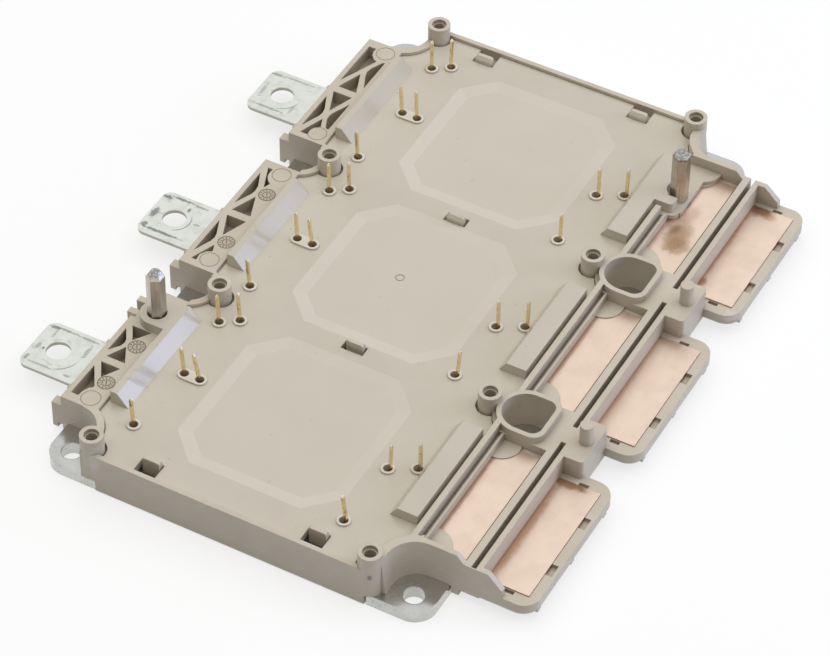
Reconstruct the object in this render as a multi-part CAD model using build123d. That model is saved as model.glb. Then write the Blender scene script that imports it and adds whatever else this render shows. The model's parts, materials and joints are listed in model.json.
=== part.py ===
from build123d import *
import os

# Silicon carbide power module: three phases side by side on one cooled baseplate.
# Millimetres, +Z up. X runs along the long side, -Y is the AC tab side, +Y the DC pad side.
# Z = 0 is the cooled underside of the baseplate.

# Driving dimensions
BASE_LENGTH = 154.5
BASE_WIDTH = 92.0
BASE_THICK = 3.0
WALL_TOP = 10.5
LID_TOP = 9.7
LID_THICK = 1.8
RIM_TOP = 12.2
WEDGE_TOP = 12.9
BOSS_TOP = 14.0
PIN_TOP = 17.5
DOWEL_AC_TOP = 25.1
DOWEL_DC_TOP = 22.9
AC_TAB_TOP = 5.7
OUTER_PAD_TOP = 5.7
INNER_PAD_TOP = 8.5
STRIP_THICK = 1.0

# The frame stands past the baseplate at both ends, and the three phases share the length between end margins
SIDE_OVERHANG = 0.45
END_MARGIN = 5.85
BODY_LENGTH = BASE_LENGTH + 2 * SIDE_OVERHANG
HALF_BODY = BODY_LENGTH / 2
PITCH = (BASE_LENGTH - 2 * END_MARGIN) / 3
PHASES = (-1, 0, 1)
PHASE_X = [k * PITCH for k in PHASES]
SCREW_X = (-PITCH / 2, PITCH / 2)

# Mounting ears and their holes
EAR_INSET_X = 4.55
EAR_INSET_Y = 5.0
EAR_X = BASE_LENGTH / 2 - EAR_INSET_X
EAR_Y = BASE_WIDTH / 2 - EAR_INSET_Y
EAR_HOLE = 4.6
EAR_ROUND = 5.0
SIDE_NOTCH = 1.3
SIDE_NOTCH_Y = EAR_Y - 8.7

# Lid outline, between the AC blocks and the rib of the DC side
BLOCK_OUT_Y = -(BASE_WIDTH / 2 + 1.4)
BLOCK_DEPTH = 8.8
BLOCK_IN_Y = BLOCK_OUT_Y + BLOCK_DEPTH
RIB_INSET = 9.7
RIB_Y0 = BASE_WIDTH / 2 - RIB_INSET
RIB_THICK = 1.3
RIB_Y1 = RIB_Y0 + RIB_THICK
LID_HALF = HALF_BODY - 1.3
LID_AC_Y = BLOCK_IN_Y + 0.2
LID_DC_Y = RIB_Y0 - 0.9

# Screw bosses for the driver board
BOSS_END_X = HALF_BODY - 2.5
BOSS_X = (-BOSS_END_X, -PITCH / 2, PITCH / 2, BOSS_END_X)
BOSS_AC_Y = LID_AC_Y + 4.5
BOSS_DC_Y = LID_DC_Y - 3.2
BOSS_R = 2.6
BOSS_GAP = 0.5
BOSS_BORE = 2.5
BOSS_STEP = 3.3
BOSS_STEP_DEPTH = 0.9
BOSS_DEPTH = 9.0

# Housing walls
SKIN = 1.2
SKIRT_BOTTOM = 0.4
RECESS_R = 6.3
RECESS_X = EAR_X + 0.1
RECESS_AC_Y = -(EAR_Y + 0.8)
RECESS_DC_Y = EAR_Y + 0.1
# The DC corner walls lean: inset of the foot and of the top from the plain corner, then the round at each
LEAN_FOOT = (0.2, 1.0, 5.4)
LEAN_TOP = (-0.2, -0.1, 6.5)
RECESS_RIM_AC = 1.8
RECESS_RIM_DC = 2.2
SLOT_R = 5.1
SLOT_Y = -(EAR_Y + 0.4)
SLOT_RIM = 1.7

# AC terminal blocks
BLOCK_HALF = PITCH / 2 - SLOT_R
BLOCK_BOTTOM = 0.8
POCKET_DEPTH = 3.4
HOOK_TOP = 7.7
HOOK_REACH = 2.5
HOOK_WIDTH = 2.2
STAMP_Y = BLOCK_OUT_Y + 6.2
STAMP_R = 1.95
STAMP_DEPTH = 0.12
EJECTOR_Y = BLOCK_OUT_Y + 5.8
EJECTOR_R = 2.2
EJECTOR_DEPTH = 0.1
PRONGS = (-17.7, -13.8)
PRONG_WIDTH = 1.6
PRONG_REACH = 3.0
CORNER_CUT_X = -9.2
CORNER_CUT_TOP = 8.8

# AC tabs
TAB_WIDTH = 14.2
TAB_SHIFT = 3.6
TAB_REACH = 16.7
TAB_END_Y = BLOCK_OUT_Y - TAB_REACH
TAB_HOLE_Y = TAB_END_Y + 6.1
TAB_HOLE = 5.5
TAB_ROUND = 2.2
FOOT_LENGTH = 1.5

# DC side
DC_X = RECESS_X - RECESS_R + 0.2
DC_SKIN = 1.6
DC_BOTTOM = 2.6
CHANNEL = 0.8
LEDGE = 0.6
TRAY_WIDTH = 9.8
GROOVE_WALL = 1.6
GROOVE = 1.1
OUTER_WALL = 1.2
FRAME_REACH = 12.0
LEDGE_Y0 = RIB_Y1 + CHANNEL
TRAY_Y0 = LEDGE_Y0 + LEDGE
TRAY_Y1 = TRAY_Y0 + TRAY_WIDTH
GROOVE_Y0 = TRAY_Y1 + GROOVE_WALL
GROOVE_Y1 = GROOVE_Y0 + GROOVE
OUTER_Y0 = GROOVE_Y1 + OUTER_WALL
BRIDGE_Y = OUTER_Y0 + 4.4
FRAME_Y = OUTER_Y0 + FRAME_REACH
COLLAR_R = 5.2
COLLAR_WALL = 1.1
TRAY_HALF = PITCH / 2 - COLLAR_R - COLLAR_WALL
BRIDGE_HALF = 6.0
OUTER_HALF = PITCH / 2 - BRIDGE_HALF - 0.3
FRAME_HALF = PITCH / 2 - 4.6
GROOVE_HALF = PITCH / 2 - 2.5
FRAME_TOP = 5.4
FRAME_THICK = 2.4
FRAME_ROUND = 4.0
BRIDGE_TOP = 10.4
INNER_HALF = TRAY_HALF - 1.2
INNER_Y1 = TRAY_Y1 - 0.9
PAD_HALF = OUTER_HALF - 1.5
PAD_Y1 = FRAME_Y - 2.3
STRIP_GAP = 1.0
DC_FOOT_LENGTH = 2.0
LAND_TOP = 8.7
LAND_R = (4.4, 5.3)
FRAME_SLOTS = ((-8.2, 6.7), (-9.0, 6.0), (-8.8, 5.8))
FRAME_SLOT_LENGTH = 3.2
FRAME_SLOT_WIDTH = 1.5
FRAME_SLOT_DEPTH = 0.9
FRAME_NUBS = (-14.0, 0.8, 15.5)
# End walls of the DC side: where the high part ends, where the slope starts and ends, and its low end
END_HIGH_Y = TRAY_Y1 - 1.6
END_MID_Y = TRAY_Y1 + 0.1
END_SLOPE_Y = OUTER_Y0 + 1.7
END_TIP_Y = OUTER_Y0 + 5.0
END_TIP_TOP = 7.2

# Screw access collars and short posts
COLLAR_Y = EAR_Y - 0.25
POST_Y = OUTER_Y0 + 2.2
POST_R = 1.5
POST_TOP = 15.5

# Lid
RING_TOP = 10.1
RING_R = 1.55
RING_HOLE = 1.0
SIGNAL_SIDE = 0.64
OCTAGON_X = PITCH / 2 - 2.8
OCTAGON_Y0 = LID_AC_Y + 17.0
OCTAGON_Y1 = LID_DC_Y - 16.6
OCTAGON_CUT = 6.8
OCTAGON_DEPTH = 0.4
OCTAGON_BORDER = 3.0
WEDGE_HALF = BLOCK_HALF - 4.5
WEDGE_LONG_END = BLOCK_HALF - 3.2
WEDGE_Y0 = LID_AC_Y + 0.6
WEDGE_Y1 = WEDGE_Y0 + 1.6
WEDGE_Y2 = WEDGE_Y1 + 2.6
BAR_X0 = -TRAY_HALF + 2.3
BAR_X1 = TRAY_HALF - 4.2
BAR_Y1 = LID_DC_Y - 0.2
BAR_Y0 = BAR_Y1 - 4.7
BAR_BEVEL = 1.7
# Latch windows in each half of the lid, as distance from the middle and y range
CLIPS = (
    (LID_HALF - 4.4, LID_HALF + 0.2, -23.4, -18.3),
    (LID_HALF - 4.4, LID_HALF + 0.2, 16.3, 21.4),
    (PITCH / 2 - 2.2, PITCH / 2 + 0.4, -3.7, 1.6),
)
# Latch of the frame in each window, on a rail below the lid, sloped on the side of the middle
LATCH_WIDTH = 4.0
LATCH_SHIFT = 0.15
LATCH_GAP = 0.1
LATCH_THICK = 1.5
LATCH_SLOPE = 0.6
LATCH_NOSE_TOP = LID_TOP + 0.9
LATCH_TOP = LID_TOP + 1.7
LATCH_ROUND = 0.5
RAIL_BOTTOM = BASE_THICK + 1.0
RAIL_TOP = BASE_THICK + 3.2
GATE_MARK = (-1.0, -3.2)
GATE_MARK_R = 1.1

# Locating dowels, the lid lug round one and the lid hook round the other
DOWEL_AF = 3.6
DOWEL_TAPER = 0.9
DOWEL_CUT = 0.2
DOWEL_AC = (PITCH - 10.7, BLOCK_OUT_Y + 5.8)
DOWEL_AC_BOTTOM = 4.0
DOWEL_DC = (-PITCH - 5.9, TRAY_Y0 - 0.3)
DOWEL_DC_BOTTOM = 6.2
DOWEL_HOLE = 4.4
LUG_R = 3.8
LUG_BOTTOM = WALL_TOP
FORK_HALF = 5.5
FORK_SLOT = 5.6
FORK_END_Y = TRAY_Y0 + 0.6
FORK_BOTTOM = LID_TOP
FORK_LAND_TOP = 9.6
FORK_LAND_Y = TRAY_Y0 + 2.2
FORK_LAND_END = -PITCH - 1.6
FORK_LAND_ROUND = 1.9
CORNER_LAND_R = 4.7
SHORT_RIB_X = -PITCH + 1.0

# Well for the power stack and the substrate in it, per phase
CAVITY_INSET = 3.0
CAVITY_Y0 = LID_AC_Y + 1.8
CAVITY_Y1 = LID_DC_Y - 1.0
SUB_HALF = PITCH / 2 - 3.9
SUB_Y0 = CAVITY_Y0 + 4.6
SUB_Y1 = CAVITY_Y1 - 4.9
TAB_IN_Y = SUB_Y0 + 2.4
DC_FOOT_Y = SUB_Y1 - 4.0

# Pin places within one phase: x from the phase centre, then y
AC_PINS = (
    (-SUB_HALF + 2.8, SUB_Y0 + 1.9),
    (-SUB_HALF + 0.2, SUB_Y0 + 5.6),
    (-0.2, SUB_Y0 + 3.5),
    (-0.2, SUB_Y0 + 7.3),
    (SUB_HALF - 2.2, SUB_Y0 + 2.0),
)
DC_PINS = ((2.7, SUB_Y1 - 7.1), (-0.3, SUB_Y1 - 1.6), (SUB_HALF - 0.2, SUB_Y1 - 7.9))
# The pins stand off the middle of their rings and each is bent a little its own way above this height
AC_PIN_OFF = (-0.42, -0.3)
DC_PIN_OFF = (-0.38, 0.34)
BEND_Z = 9.5
AC_TIPS = (
    ((-0.76, -0.4), (-0.92, -0.48), (-0.31, -0.62), (-0.59, -0.57), (-0.14, -0.42)),
    ((-0.63, -0.43), (-0.47, -0.47), (-0.1, -0.32), (0.17, -0.69), (-0.22, -0.67)),
    ((-0.33, -0.51), (-0.51, -0.7), (-0.12, -0.65), (0.41, -1.08), (-0.12, -0.43)),
)
DC_TIPS = (
    ((-0.82, 0.2), (-0.67, 0.45), (-0.59, 0.39)),
    ((-0.55, 0.26), (-0.55, 0.48), (-0.02, 1.19)),
    ((0.11, 0.92), (-0.07, 0.52), (0.11, -0.17)),
)

# Power stack on the baseplate, per phase
SUB_EDGE = 0.8
SOLDER = 0.15
COPPER = 0.3
CERAMIC = 0.32
CHIP = 5.0
CHIP_THICK = 0.2
CHIP_PITCH = 5.7
HIGH_ROW_Y = 11.5
LOW_ROW_Y = 3.5
SPLIT_Y = 7.5
TRACK_GAP = 0.6
PIN_PAD = 2.4
PIN_ARM = 2.2
RIBBON_WIDTH = 1.5
RIBBON_THICK = 0.2
RIBBON_RISE = 0.9
SENSOR = (-15.0, -20.0)
SENSOR_SIZE = (2.0, 1.25, 0.8)
GEL_TOP = 7.2
SEAL_THICK = 0.5
SEAL_IN = 0.4
SEAL_OUT = 1.1

SOLDER_TOP = BASE_THICK + SOLDER
LOWER_TOP = SOLDER_TOP + COPPER
CERAMIC_TOP = LOWER_TOP + CERAMIC
TRACK_TOP = CERAMIC_TOP + COPPER


def box(x0, x1, y0, y1, z0, z1):
    return Pos((x0 + x1) / 2, (y0 + y1) / 2, (z0 + z1) / 2) * Box(x1 - x0, y1 - y0, z1 - z0)


def rod(x, y, r, z0, z1):
    return Pos(x, y, (z0 + z1) / 2) * Cylinder(r, z1 - z0)


def prism(points, z0, z1):
    face = make_face(Polyline(*points, close=True))
    return Pos(0, 0, z0) * extrude(face, z1 - z0)


def along_x(profile, x0, x1):
    # profile is a list of (y, z) points, swept from x0 to x1
    face = make_face(Polyline(*[(x0, y, z) for y, z in profile], close=True))
    return extrude(face, x1 - x0, dir=(1, 0, 0))


def rounded(x0, x1, y0, y1, z0, z1, r):
    block = box(x0, x1, y0, y1, z0, z1)
    return fillet(block.edges().filter_by(Axis.Z), r)


# Baseplate, nickel-plated copper with eight bolt holes

def make_baseplate():
    plate = rounded(-BASE_LENGTH / 2, BASE_LENGTH / 2, -BASE_WIDTH / 2, BASE_WIDTH / 2,
                    0, BASE_THICK, EAR_ROUND)
    for side in (-1, 1):
        x0 = side * (BASE_LENGTH / 2 - SIDE_NOTCH)
        x1 = side * BASE_LENGTH
        plate -= box(min(x0, x1), max(x0, x1), -SIDE_NOTCH_Y, SIDE_NOTCH_Y, -1, BASE_THICK + 1)
    for x in (-EAR_X, SCREW_X[0], SCREW_X[1], EAR_X):
        for y in (-EAR_Y, EAR_Y):
            plate -= rod(x, y, EAR_HOLE / 2, -1, BASE_THICK + 1)
    return plate


# Plan shapes shared by the housing and the lid

def recess_cut(grow, z0, z1):
    # Space round the corner ears and the two AC side screws, grown outward by a rim
    cuts = []
    for side in (-1, 1):
        for y, way in ((RECESS_AC_Y, -1), (RECESS_DC_Y, 1)):
            r = RECESS_R + (grow[0] if way < 0 else grow[1])
            cuts.append(rod(side * RECESS_X, y, r, z0, z1))
            xa = side * (RECESS_X - r)
            xb = side * (HALF_BODY + 5)
            ya = y
            yb = y + way * 40
            cuts.append(box(min(xa, xb), max(xa, xb), min(ya, yb), max(ya, yb), z0, z1))
            xa = side * RECESS_X
            ya = y - way * r
            yb = y + way * 5
            cuts.append(box(min(xa, xb), max(xa, xb), min(ya, yb), max(ya, yb), z0, z1))
    return cuts


def leaning_corners():
    # Space over the DC ears, wider at the top, and the end wall rounded off beside it
    cuts = []
    for side in (-1, 1):
        faces = []
        for (in_x, in_y, r), z in ((LEAN_FOOT, BASE_THICK), (LEAN_TOP, RIM_TOP)):
            x0 = RECESS_X - RECESS_R + in_x
            y0 = RECESS_DC_Y - RECESS_R + in_y
            x1 = HALF_BODY + 5
            y1 = RECESS_DC_Y + 20
            k = r * (1 - 0.5 ** 0.5)
            corner = ThreePointArc((side * x0, y0 + r, z), (side * (x0 + k), y0 + k, z), (side * (x0 + r), y0, z))
            rest = Polyline((side * (x0 + r), y0, z), (side * x1, y0, z), (side * x1, y1, z),
                            (side * x0, y1, z), (side * x0, y0 + r, z))
            faces.append(make_face([*corner.edges(), *rest.edges()]))
        cuts.append(loft(faces))
        bx = side * BOSS_END_X
        edge = side * (HALF_BODY + 1)
        cuts.append(box(min(bx, edge), max(bx, edge), BOSS_DC_Y, RECESS_DC_Y - 4, BASE_THICK, RIM_TOP + 1)
                    - rod(bx, BOSS_DC_Y, HALF_BODY - BOSS_END_X, 0, BOSS_TOP))
    return cuts


def slot_cut(grow, z0, z1):
    r = SLOT_R + grow
    cuts = []
    for x in SCREW_X:
        cuts.append(rod(x, SLOT_Y, r, z0, z1))
        cuts.append(box(x - r, x + r, SLOT_Y - 20, SLOT_Y, z0, z1))
    return cuts


def collar_shape(x, grow, z0, z1):
    # Round toward the lid, squared with rounded corners toward the pads
    r = COLLAR_R + grow
    round_side = rod(x, COLLAR_Y, r, z0, z1)
    square = rounded(x - r, x + r, COLLAR_Y - 2.5, COLLAR_Y + r, z0, z1, 2.2 + grow * 0.6)
    return round_side + square


def bosses(r, z0, z1):
    out = []
    for x in BOSS_X:
        for y in (BOSS_AC_Y, BOSS_DC_Y):
            out.append(rod(x, y, r, z0, z1))
    return out


# Housing frame

# Outlines of the ribbed pockets: x from the phase centre, y from the outer face of the block
POCKETS_FAR = (
    ((-16.3, 3), (-16.3, 1.2), (-2.8, 1.2), (-6.4, 2.8), (-12.4, 5.3), (-12.9, 4.3),
     (-13.9, 3.4), (-14.9, 3)),
    ((-12.8, 7.3), (-2.9, 7.3), (-6.9, 5.5), (-8.2, 5.2), (-9.6, 5.4), (-12.7, 6.8)),
    ((-6.8, 4.2), (-0.6, 1.9), (-0.6, 6.6)),
    ((1.4, 6.6), (1.4, 1.8), (7.7, 4.3)),
    ((3.6, 7.3), (13.4, 7.3), (13.3, 6.5), (10.6, 5.3), (9.3, 5.15), (8.0, 5.4)),
    ((3.6, 1.2), (15.0, 1.2), (10.4, 3.1), (9.0, 3.3), (7.6, 3)),
    ((10.9, 4.3), (17.1, 2), (17.1, 3.9), (15.7, 3.7), (14.4, 4.2), (13.4, 5.3)),
)
POCKETS_MID = (
    ((-14.2, 1.2), (-3.0, 1.2), (-7.2, 3), (-8.6, 3.25), (-10.2, 3)),
    ((-6.9, 4.3), (-0.8, 1.8), (-0.8, 6.6)),
    ((7.3, 4.3), (1.2, 1.8), (1.2, 6.6)),
    ((3.5, 1.2), (14.4, 1.2), (10.2, 2.9), (8.9, 3.15), (7.6, 2.9)),
    ((-16.5, 3.1), (-16.5, 1.9), (-10.4, 4.3), (-12.1, 5), (-12.8, 4), (-14.0, 3.2),
     (-15.2, 3)),
    ((16.8, 3.2), (16.8, 2), (10.8, 4.3), (12.8, 5), (13.5, 3.9), (14.9, 3)),
)
POCKETS_NEAR = (
    ((-6.7, 6.8), (-6.7, 2), (-2.9, 4.3)),
    ((-5.3, 1.2), (2.1, 1.2), (-0.3, 3), (-1.4, 3.25), (-2.5, 3)),
    ((3.8, 6.6), (3.8, 2), (-0.5, 4.2)),
    ((5.7, 6.6), (5.7, 1.9), (9.7, 4.3)),
    ((7.4, 1.2), (16.5, 1.2), (16.5, 3), (15.2, 3.1), (13.6, 3.8), (13.1, 4.5), (12.5, 4.5)),
)
POCKETS = (POCKETS_FAR, POCKETS_MID, POCKETS_NEAR)
STAMPS = ((), (-8.6, 8.9), (-1.6, 10.6))
EJECTORS = ((-15.8, 15.8), (-15.8, 15.4), (16.0,))


def ac_block(x, shape):
    left = x - BLOCK_HALF
    right = x + BLOCK_HALF
    shape += box(left, right, BLOCK_OUT_Y, BLOCK_IN_Y + 4, BASE_THICK, WALL_TOP)
    shape += box(left, right, BLOCK_OUT_Y, -BASE_WIDTH / 2 - 0.2, BLOCK_BOTTOM, BASE_THICK)
    # Hook at the outer corner, with a small notch under its root
    hook = right - HOOK_WIDTH
    shape += box(hook, right, BLOCK_OUT_Y - HOOK_REACH, BLOCK_OUT_Y, BLOCK_BOTTOM, HOOK_TOP)
    shape -= box(hook, right, BLOCK_OUT_Y - 1.2, BLOCK_OUT_Y, BLOCK_BOTTOM - 1, BLOCK_BOTTOM + 1.2)
    if x > PITCH / 2:
        # Near block only: a lowered outer corner with two prongs
        shape -= box(left - 1, x + CORNER_CUT_X, BLOCK_OUT_Y - 1, BLOCK_OUT_Y + 1.2, CORNER_CUT_TOP, WALL_TOP + 1)
        for dx in PRONGS:
            shape += box(x + dx, x + dx + PRONG_WIDTH, BLOCK_OUT_Y - PRONG_REACH, BLOCK_OUT_Y,
                         BLOCK_BOTTOM, HOOK_TOP)
    # Open cradle that the tab leaves through
    half = TAB_WIDTH / 2
    mid = x + TAB_SHIFT
    bottom = AC_TAB_TOP - STRIP_THICK
    shape += box(mid - half - 1.1, mid + half + 1.1, BLOCK_OUT_Y - 3.1, BLOCK_OUT_Y, bottom - 1.2, bottom)
    for x0 in (mid - half - 1.1, mid + half):
        shape += box(x0, x0 + 1.1, BLOCK_OUT_Y - 3.1, BLOCK_OUT_Y, bottom, AC_TAB_TOP)
    return shape


def dc_side(shape):
    end_in = DC_X - DC_SKIN
    # Body of the DC side, up to the pad bridge level
    shape += box(-DC_X, DC_X, BOSS_DC_Y, OUTER_Y0, BASE_THICK, BRIDGE_TOP)
    shape += box(-DC_X, DC_X, BASE_WIDTH / 2 + 0.2, OUTER_Y0, DC_BOTTOM, BASE_THICK)
    # Outer pad frames
    for x in PHASE_X:
        x0 = max(x - FRAME_HALF, -DC_X)
        x1 = min(x + FRAME_HALF, DC_X)
        shape += rounded(x0, x1, OUTER_Y0 - 6, FRAME_Y, FRAME_TOP - FRAME_THICK, FRAME_TOP, FRAME_ROUND)
        for dx in FRAME_NUBS:
            shape += box(x + dx - 0.7, x + dx + 0.7, FRAME_Y - 1.2, FRAME_Y - 0.1,
                         FRAME_TOP - FRAME_THICK - 0.9, FRAME_TOP - FRAME_THICK)
    # Bridge between neighbouring phases, with the short post
    for x in SCREW_X:
        shape += rounded(x - BRIDGE_HALF, x + BRIDGE_HALF, OUTER_Y0 - 4, BRIDGE_Y, DC_BOTTOM, BRIDGE_TOP, 0.9)
        shape += rod(x, POST_Y, POST_R, BRIDGE_TOP, POST_TOP)
    # End walls, stepping down toward the outer frames
    for side in (-1, 1):
        wall = along_x(((RECESS_DC_Y, BASE_THICK), (RECESS_DC_Y, RIM_TOP), (END_HIGH_Y, RIM_TOP),
                        (END_MID_Y, BRIDGE_TOP), (END_SLOPE_Y, BRIDGE_TOP), (END_TIP_Y, END_TIP_TOP),
                        (END_TIP_Y, BASE_THICK)),
                       min(side * end_in, side * DC_X), max(side * end_in, side * DC_X))
        shape += wall
    # Small foot under the near corner
    shape += box(DC_X - 2.2, DC_X, BASE_WIDTH / 2 + 0.2, TRAY_Y1 - 0.8, 1.0, DC_BOTTOM)
    # Rim along the lid
    shape += box(-DC_X, DC_X, RIB_Y0, RIB_Y1, BRIDGE_TOP - 2, RIM_TOP)
    return shape


def trays(shape):
    for x in PHASE_X:
        # Channel between rib and ledge, inner tray, groove, then the outer tray
        shape -= box(x - TRAY_HALF, x + TRAY_HALF, RIB_Y1, LEDGE_Y0, 9.3, BRIDGE_TOP + 5)
        shape -= box(x - TRAY_HALF, x + TRAY_HALF, TRAY_Y0, TRAY_Y1, INNER_PAD_TOP - 0.3, BRIDGE_TOP + 5)
        shape -= box(x - GROOVE_HALF, min(x + GROOVE_HALF, DC_X - 0.6), GROOVE_Y0, GROOVE_Y1, 7.0, BRIDGE_TOP + 0.5)
        shape -= box(x - OUTER_HALF, x + OUTER_HALF, OUTER_Y0, FRAME_Y + 3, FRAME_TOP, BRIDGE_TOP + 5)
        # Locating slots round the outer pad
        for dx in FRAME_SLOTS[PHASE_X.index(x)]:
            shape -= box(x + dx, x + dx + FRAME_SLOT_LENGTH, PAD_Y1, PAD_Y1 + FRAME_SLOT_WIDTH,
                         FRAME_TOP - FRAME_SLOT_DEPTH, FRAME_TOP + 1)
        for side in (-1, 1):
            xa = x + side * (PAD_HALF + 0.2)
            xb = x + side * (PAD_HALF + 1.1)
            shape -= box(min(xa, xb), max(xa, xb), BRIDGE_Y, BRIDGE_Y + 2.2, FRAME_TOP - FRAME_SLOT_DEPTH, FRAME_TOP + 1)
        # Rounded lands over the inner corners of the inner pad
        for side, r in ((-1, LAND_R[0]), (1, LAND_R[1])):
            land = rod(x + side * INNER_HALF, TRAY_Y0, r, INNER_PAD_TOP - 0.5, LAND_TOP)
            shape += land & box(x - TRAY_HALF, x + TRAY_HALF, TRAY_Y0 - 0.1, TRAY_Y1, 0, 20)
    # The far phase opens for the lid hook: short rib and a low land over the pad edge
    far = -PITCH - TRAY_HALF
    shape -= box(far, SHORT_RIB_X, LID_DC_Y + 0.15, TRAY_Y0 + 0.1, FORK_LAND_TOP, RIM_TOP + 1)
    shape += box(far, SHORT_RIB_X, RIB_Y1 - 0.1, LEDGE_Y0 + 0.1, FORK_LAND_TOP - 1.5, FORK_LAND_TOP)
    shape += box(far, FORK_LAND_END, TRAY_Y0 - 0.5, FORK_LAND_Y, INNER_PAD_TOP - 0.5, FORK_LAND_TOP)
    shape += rod(FORK_LAND_END, TRAY_Y0, FORK_LAND_ROUND, INNER_PAD_TOP - 0.5, FORK_LAND_TOP)
    r = CORNER_LAND_R
    land = rod(far, TRAY_Y0, r, INNER_PAD_TOP - 0.5, FORK_LAND_TOP)
    shape += land & box(far, far + 2 * r, TRAY_Y0, TRAY_Y0 + 2 * r, 0, 20)
    return shape


def make_housing():
    # Plan of the box: end walls, both long sides, blocks on the AC side
    shape = box(-HALF_BODY, HALF_BODY, BLOCK_IN_Y, RECESS_DC_Y - 1, BASE_THICK, WALL_TOP)
    for x in PHASE_X:
        shape = ac_block(x, shape)
    shape -= slot_cut(0, -1, WALL_TOP + 1)
    shape = dc_side(shape)
    # Raised rim at the DC corners and round the screw access holes
    for side in (-1, 1):
        shape += rod(side * RECESS_X, RECESS_DC_Y, RECESS_R + RECESS_RIM_DC, BASE_THICK, RIM_TOP) - box(
            -BODY_LENGTH, BODY_LENGTH, RECESS_DC_Y, RECESS_DC_Y + 20, 0, 20)
    for x in SCREW_X:
        shape += collar_shape(x, COLLAR_WALL, BASE_THICK, RIM_TOP)
    shape = trays(shape)
    for side in (-1, 1):
        # The block top runs on along the round of the recess
        x0 = side * (PITCH + BLOCK_HALF - 0.5)
        x1 = side * RECESS_X
        shape += box(min(x0, x1), max(x0, x1), RECESS_AC_Y, BLOCK_IN_Y + 0.1, BASE_THICK, WALL_TOP)
    shape -= recess_cut((0, -1.2), -1, RIM_TOP + 1)
    shape -= leaning_corners()
    shape -= box(HALF_BODY, HALF_BODY + 20, -60, 60, -1, 20)
    shape -= box(-HALF_BODY - 20, -HALF_BODY, -60, 60, -1, 20)
    # Skirts that hide the edge of the baseplate at both ends
    for side in (-1, 1):
        x0 = side * (BASE_LENGTH / 2 - SIDE_NOTCH + 0.15)
        x1 = side * HALF_BODY
        shape += box(min(x0, x1), max(x0, x1), -SIDE_NOTCH_Y + 0.2, SIDE_NOTCH_Y - 0.2,
                     SKIRT_BOTTOM, BASE_THICK)
    # Seat for the lid, then the well for the power stack
    shape -= lid_plan(0.15, LID_TOP - LID_THICK, RIM_TOP + 3)
    well = cavity(BASE_THICK - 1, LID_TOP)
    shape -= well
    shape += latches()
    shape += bosses(BOSS_R, BASE_THICK, BOSS_TOP)
    shape -= bosses(BOSS_BORE / 2, BOSS_TOP - BOSS_DEPTH, BOSS_TOP + 1)
    shape -= bosses(BOSS_STEP / 2, BOSS_TOP - BOSS_STEP_DEPTH, BOSS_TOP + 1)
    for x in SCREW_X:
        shape -= collar_shape(x, 0, BASE_THICK - 1, RIM_TOP + 1)
    # Ribbed pockets, dial rings and ejector rings in the tops of the blocks
    marks = []
    for x, pockets, stamps, ejectors in zip(PHASE_X, POCKETS, STAMPS, EJECTORS):
        for points in pockets:
            outline = [(x + px, BLOCK_OUT_Y + py) for px, py in points]
            marks.append(prism(outline, WALL_TOP - POCKET_DEPTH, WALL_TOP + 1))
        for dx in stamps:
            marks += dial(x + dx, STAMP_Y)
        for dx in ejectors:
            marks.append(ring(x + dx, EJECTOR_Y, EJECTOR_R, 0.14, WALL_TOP - EJECTOR_DEPTH, WALL_TOP + 1))
    shape -= marks
    shape -= [make_ac_terminal(x) for x in PHASE_X]
    shape -= [make_inner_terminal(x) for x in PHASE_X]
    shape -= [make_outer_terminal(x) for x in PHASE_X]
    shape -= [make_seal()] + make_dowels()
    return shape


def ring(x, y, r, wide, z0, z1):
    return rod(x, y, r, z0, z1) - rod(x, y, r - wide, z0 - 1, z1 + 1)


def dial(x, y):
    # Bare moulding dial: two rings, twelve ticks and a plain bar
    z0 = WALL_TOP - STAMP_DEPTH
    z1 = WALL_TOP + 1
    cuts = [ring(x, y, STAMP_R, 0.18, z0, z1), ring(x, y, STAMP_R * 0.5, 0.14, z0, z1)]
    for n in range(12):
        a = 30 * n
        tick = Pos(STAMP_R * 0.72, 0, 0) * Box(0.5, 0.14, z1 - z0)
        cuts.append(Pos(x, y, (z0 + z1) / 2) * Rot(0, 0, a) * tick)
    cuts.append(Pos(x, y, (z0 + z1) / 2) * Rot(0, 0, 25) * Box(1.2, 0.2, z1 - z0))
    return cuts


def cavity(z0, z1, grow=0.0):
    # Open well over the three power stacks; grow moves its outline outward
    half = HALF_BODY - CAVITY_INSET + grow
    well = box(-half, half, CAVITY_Y0 - grow, CAVITY_Y1 + grow, z0, z1)
    well -= recess_cut((RECESS_RIM_AC + 1.4 - grow, RECESS_RIM_DC + 1.2 - grow), z0 - 1, z1 + 1)
    well -= slot_cut(SLOT_RIM + 1.3 - grow, z0 - 1, z1 + 1)
    for x in SCREW_X:
        well -= rod(x, COLLAR_Y, COLLAR_R + COLLAR_WALL + 2.0 - grow, z0 - 1, z1 + 1)
    well -= bosses(BOSS_R + 1.4 - grow, z0 - 1, z1 + 1)
    return well


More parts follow.
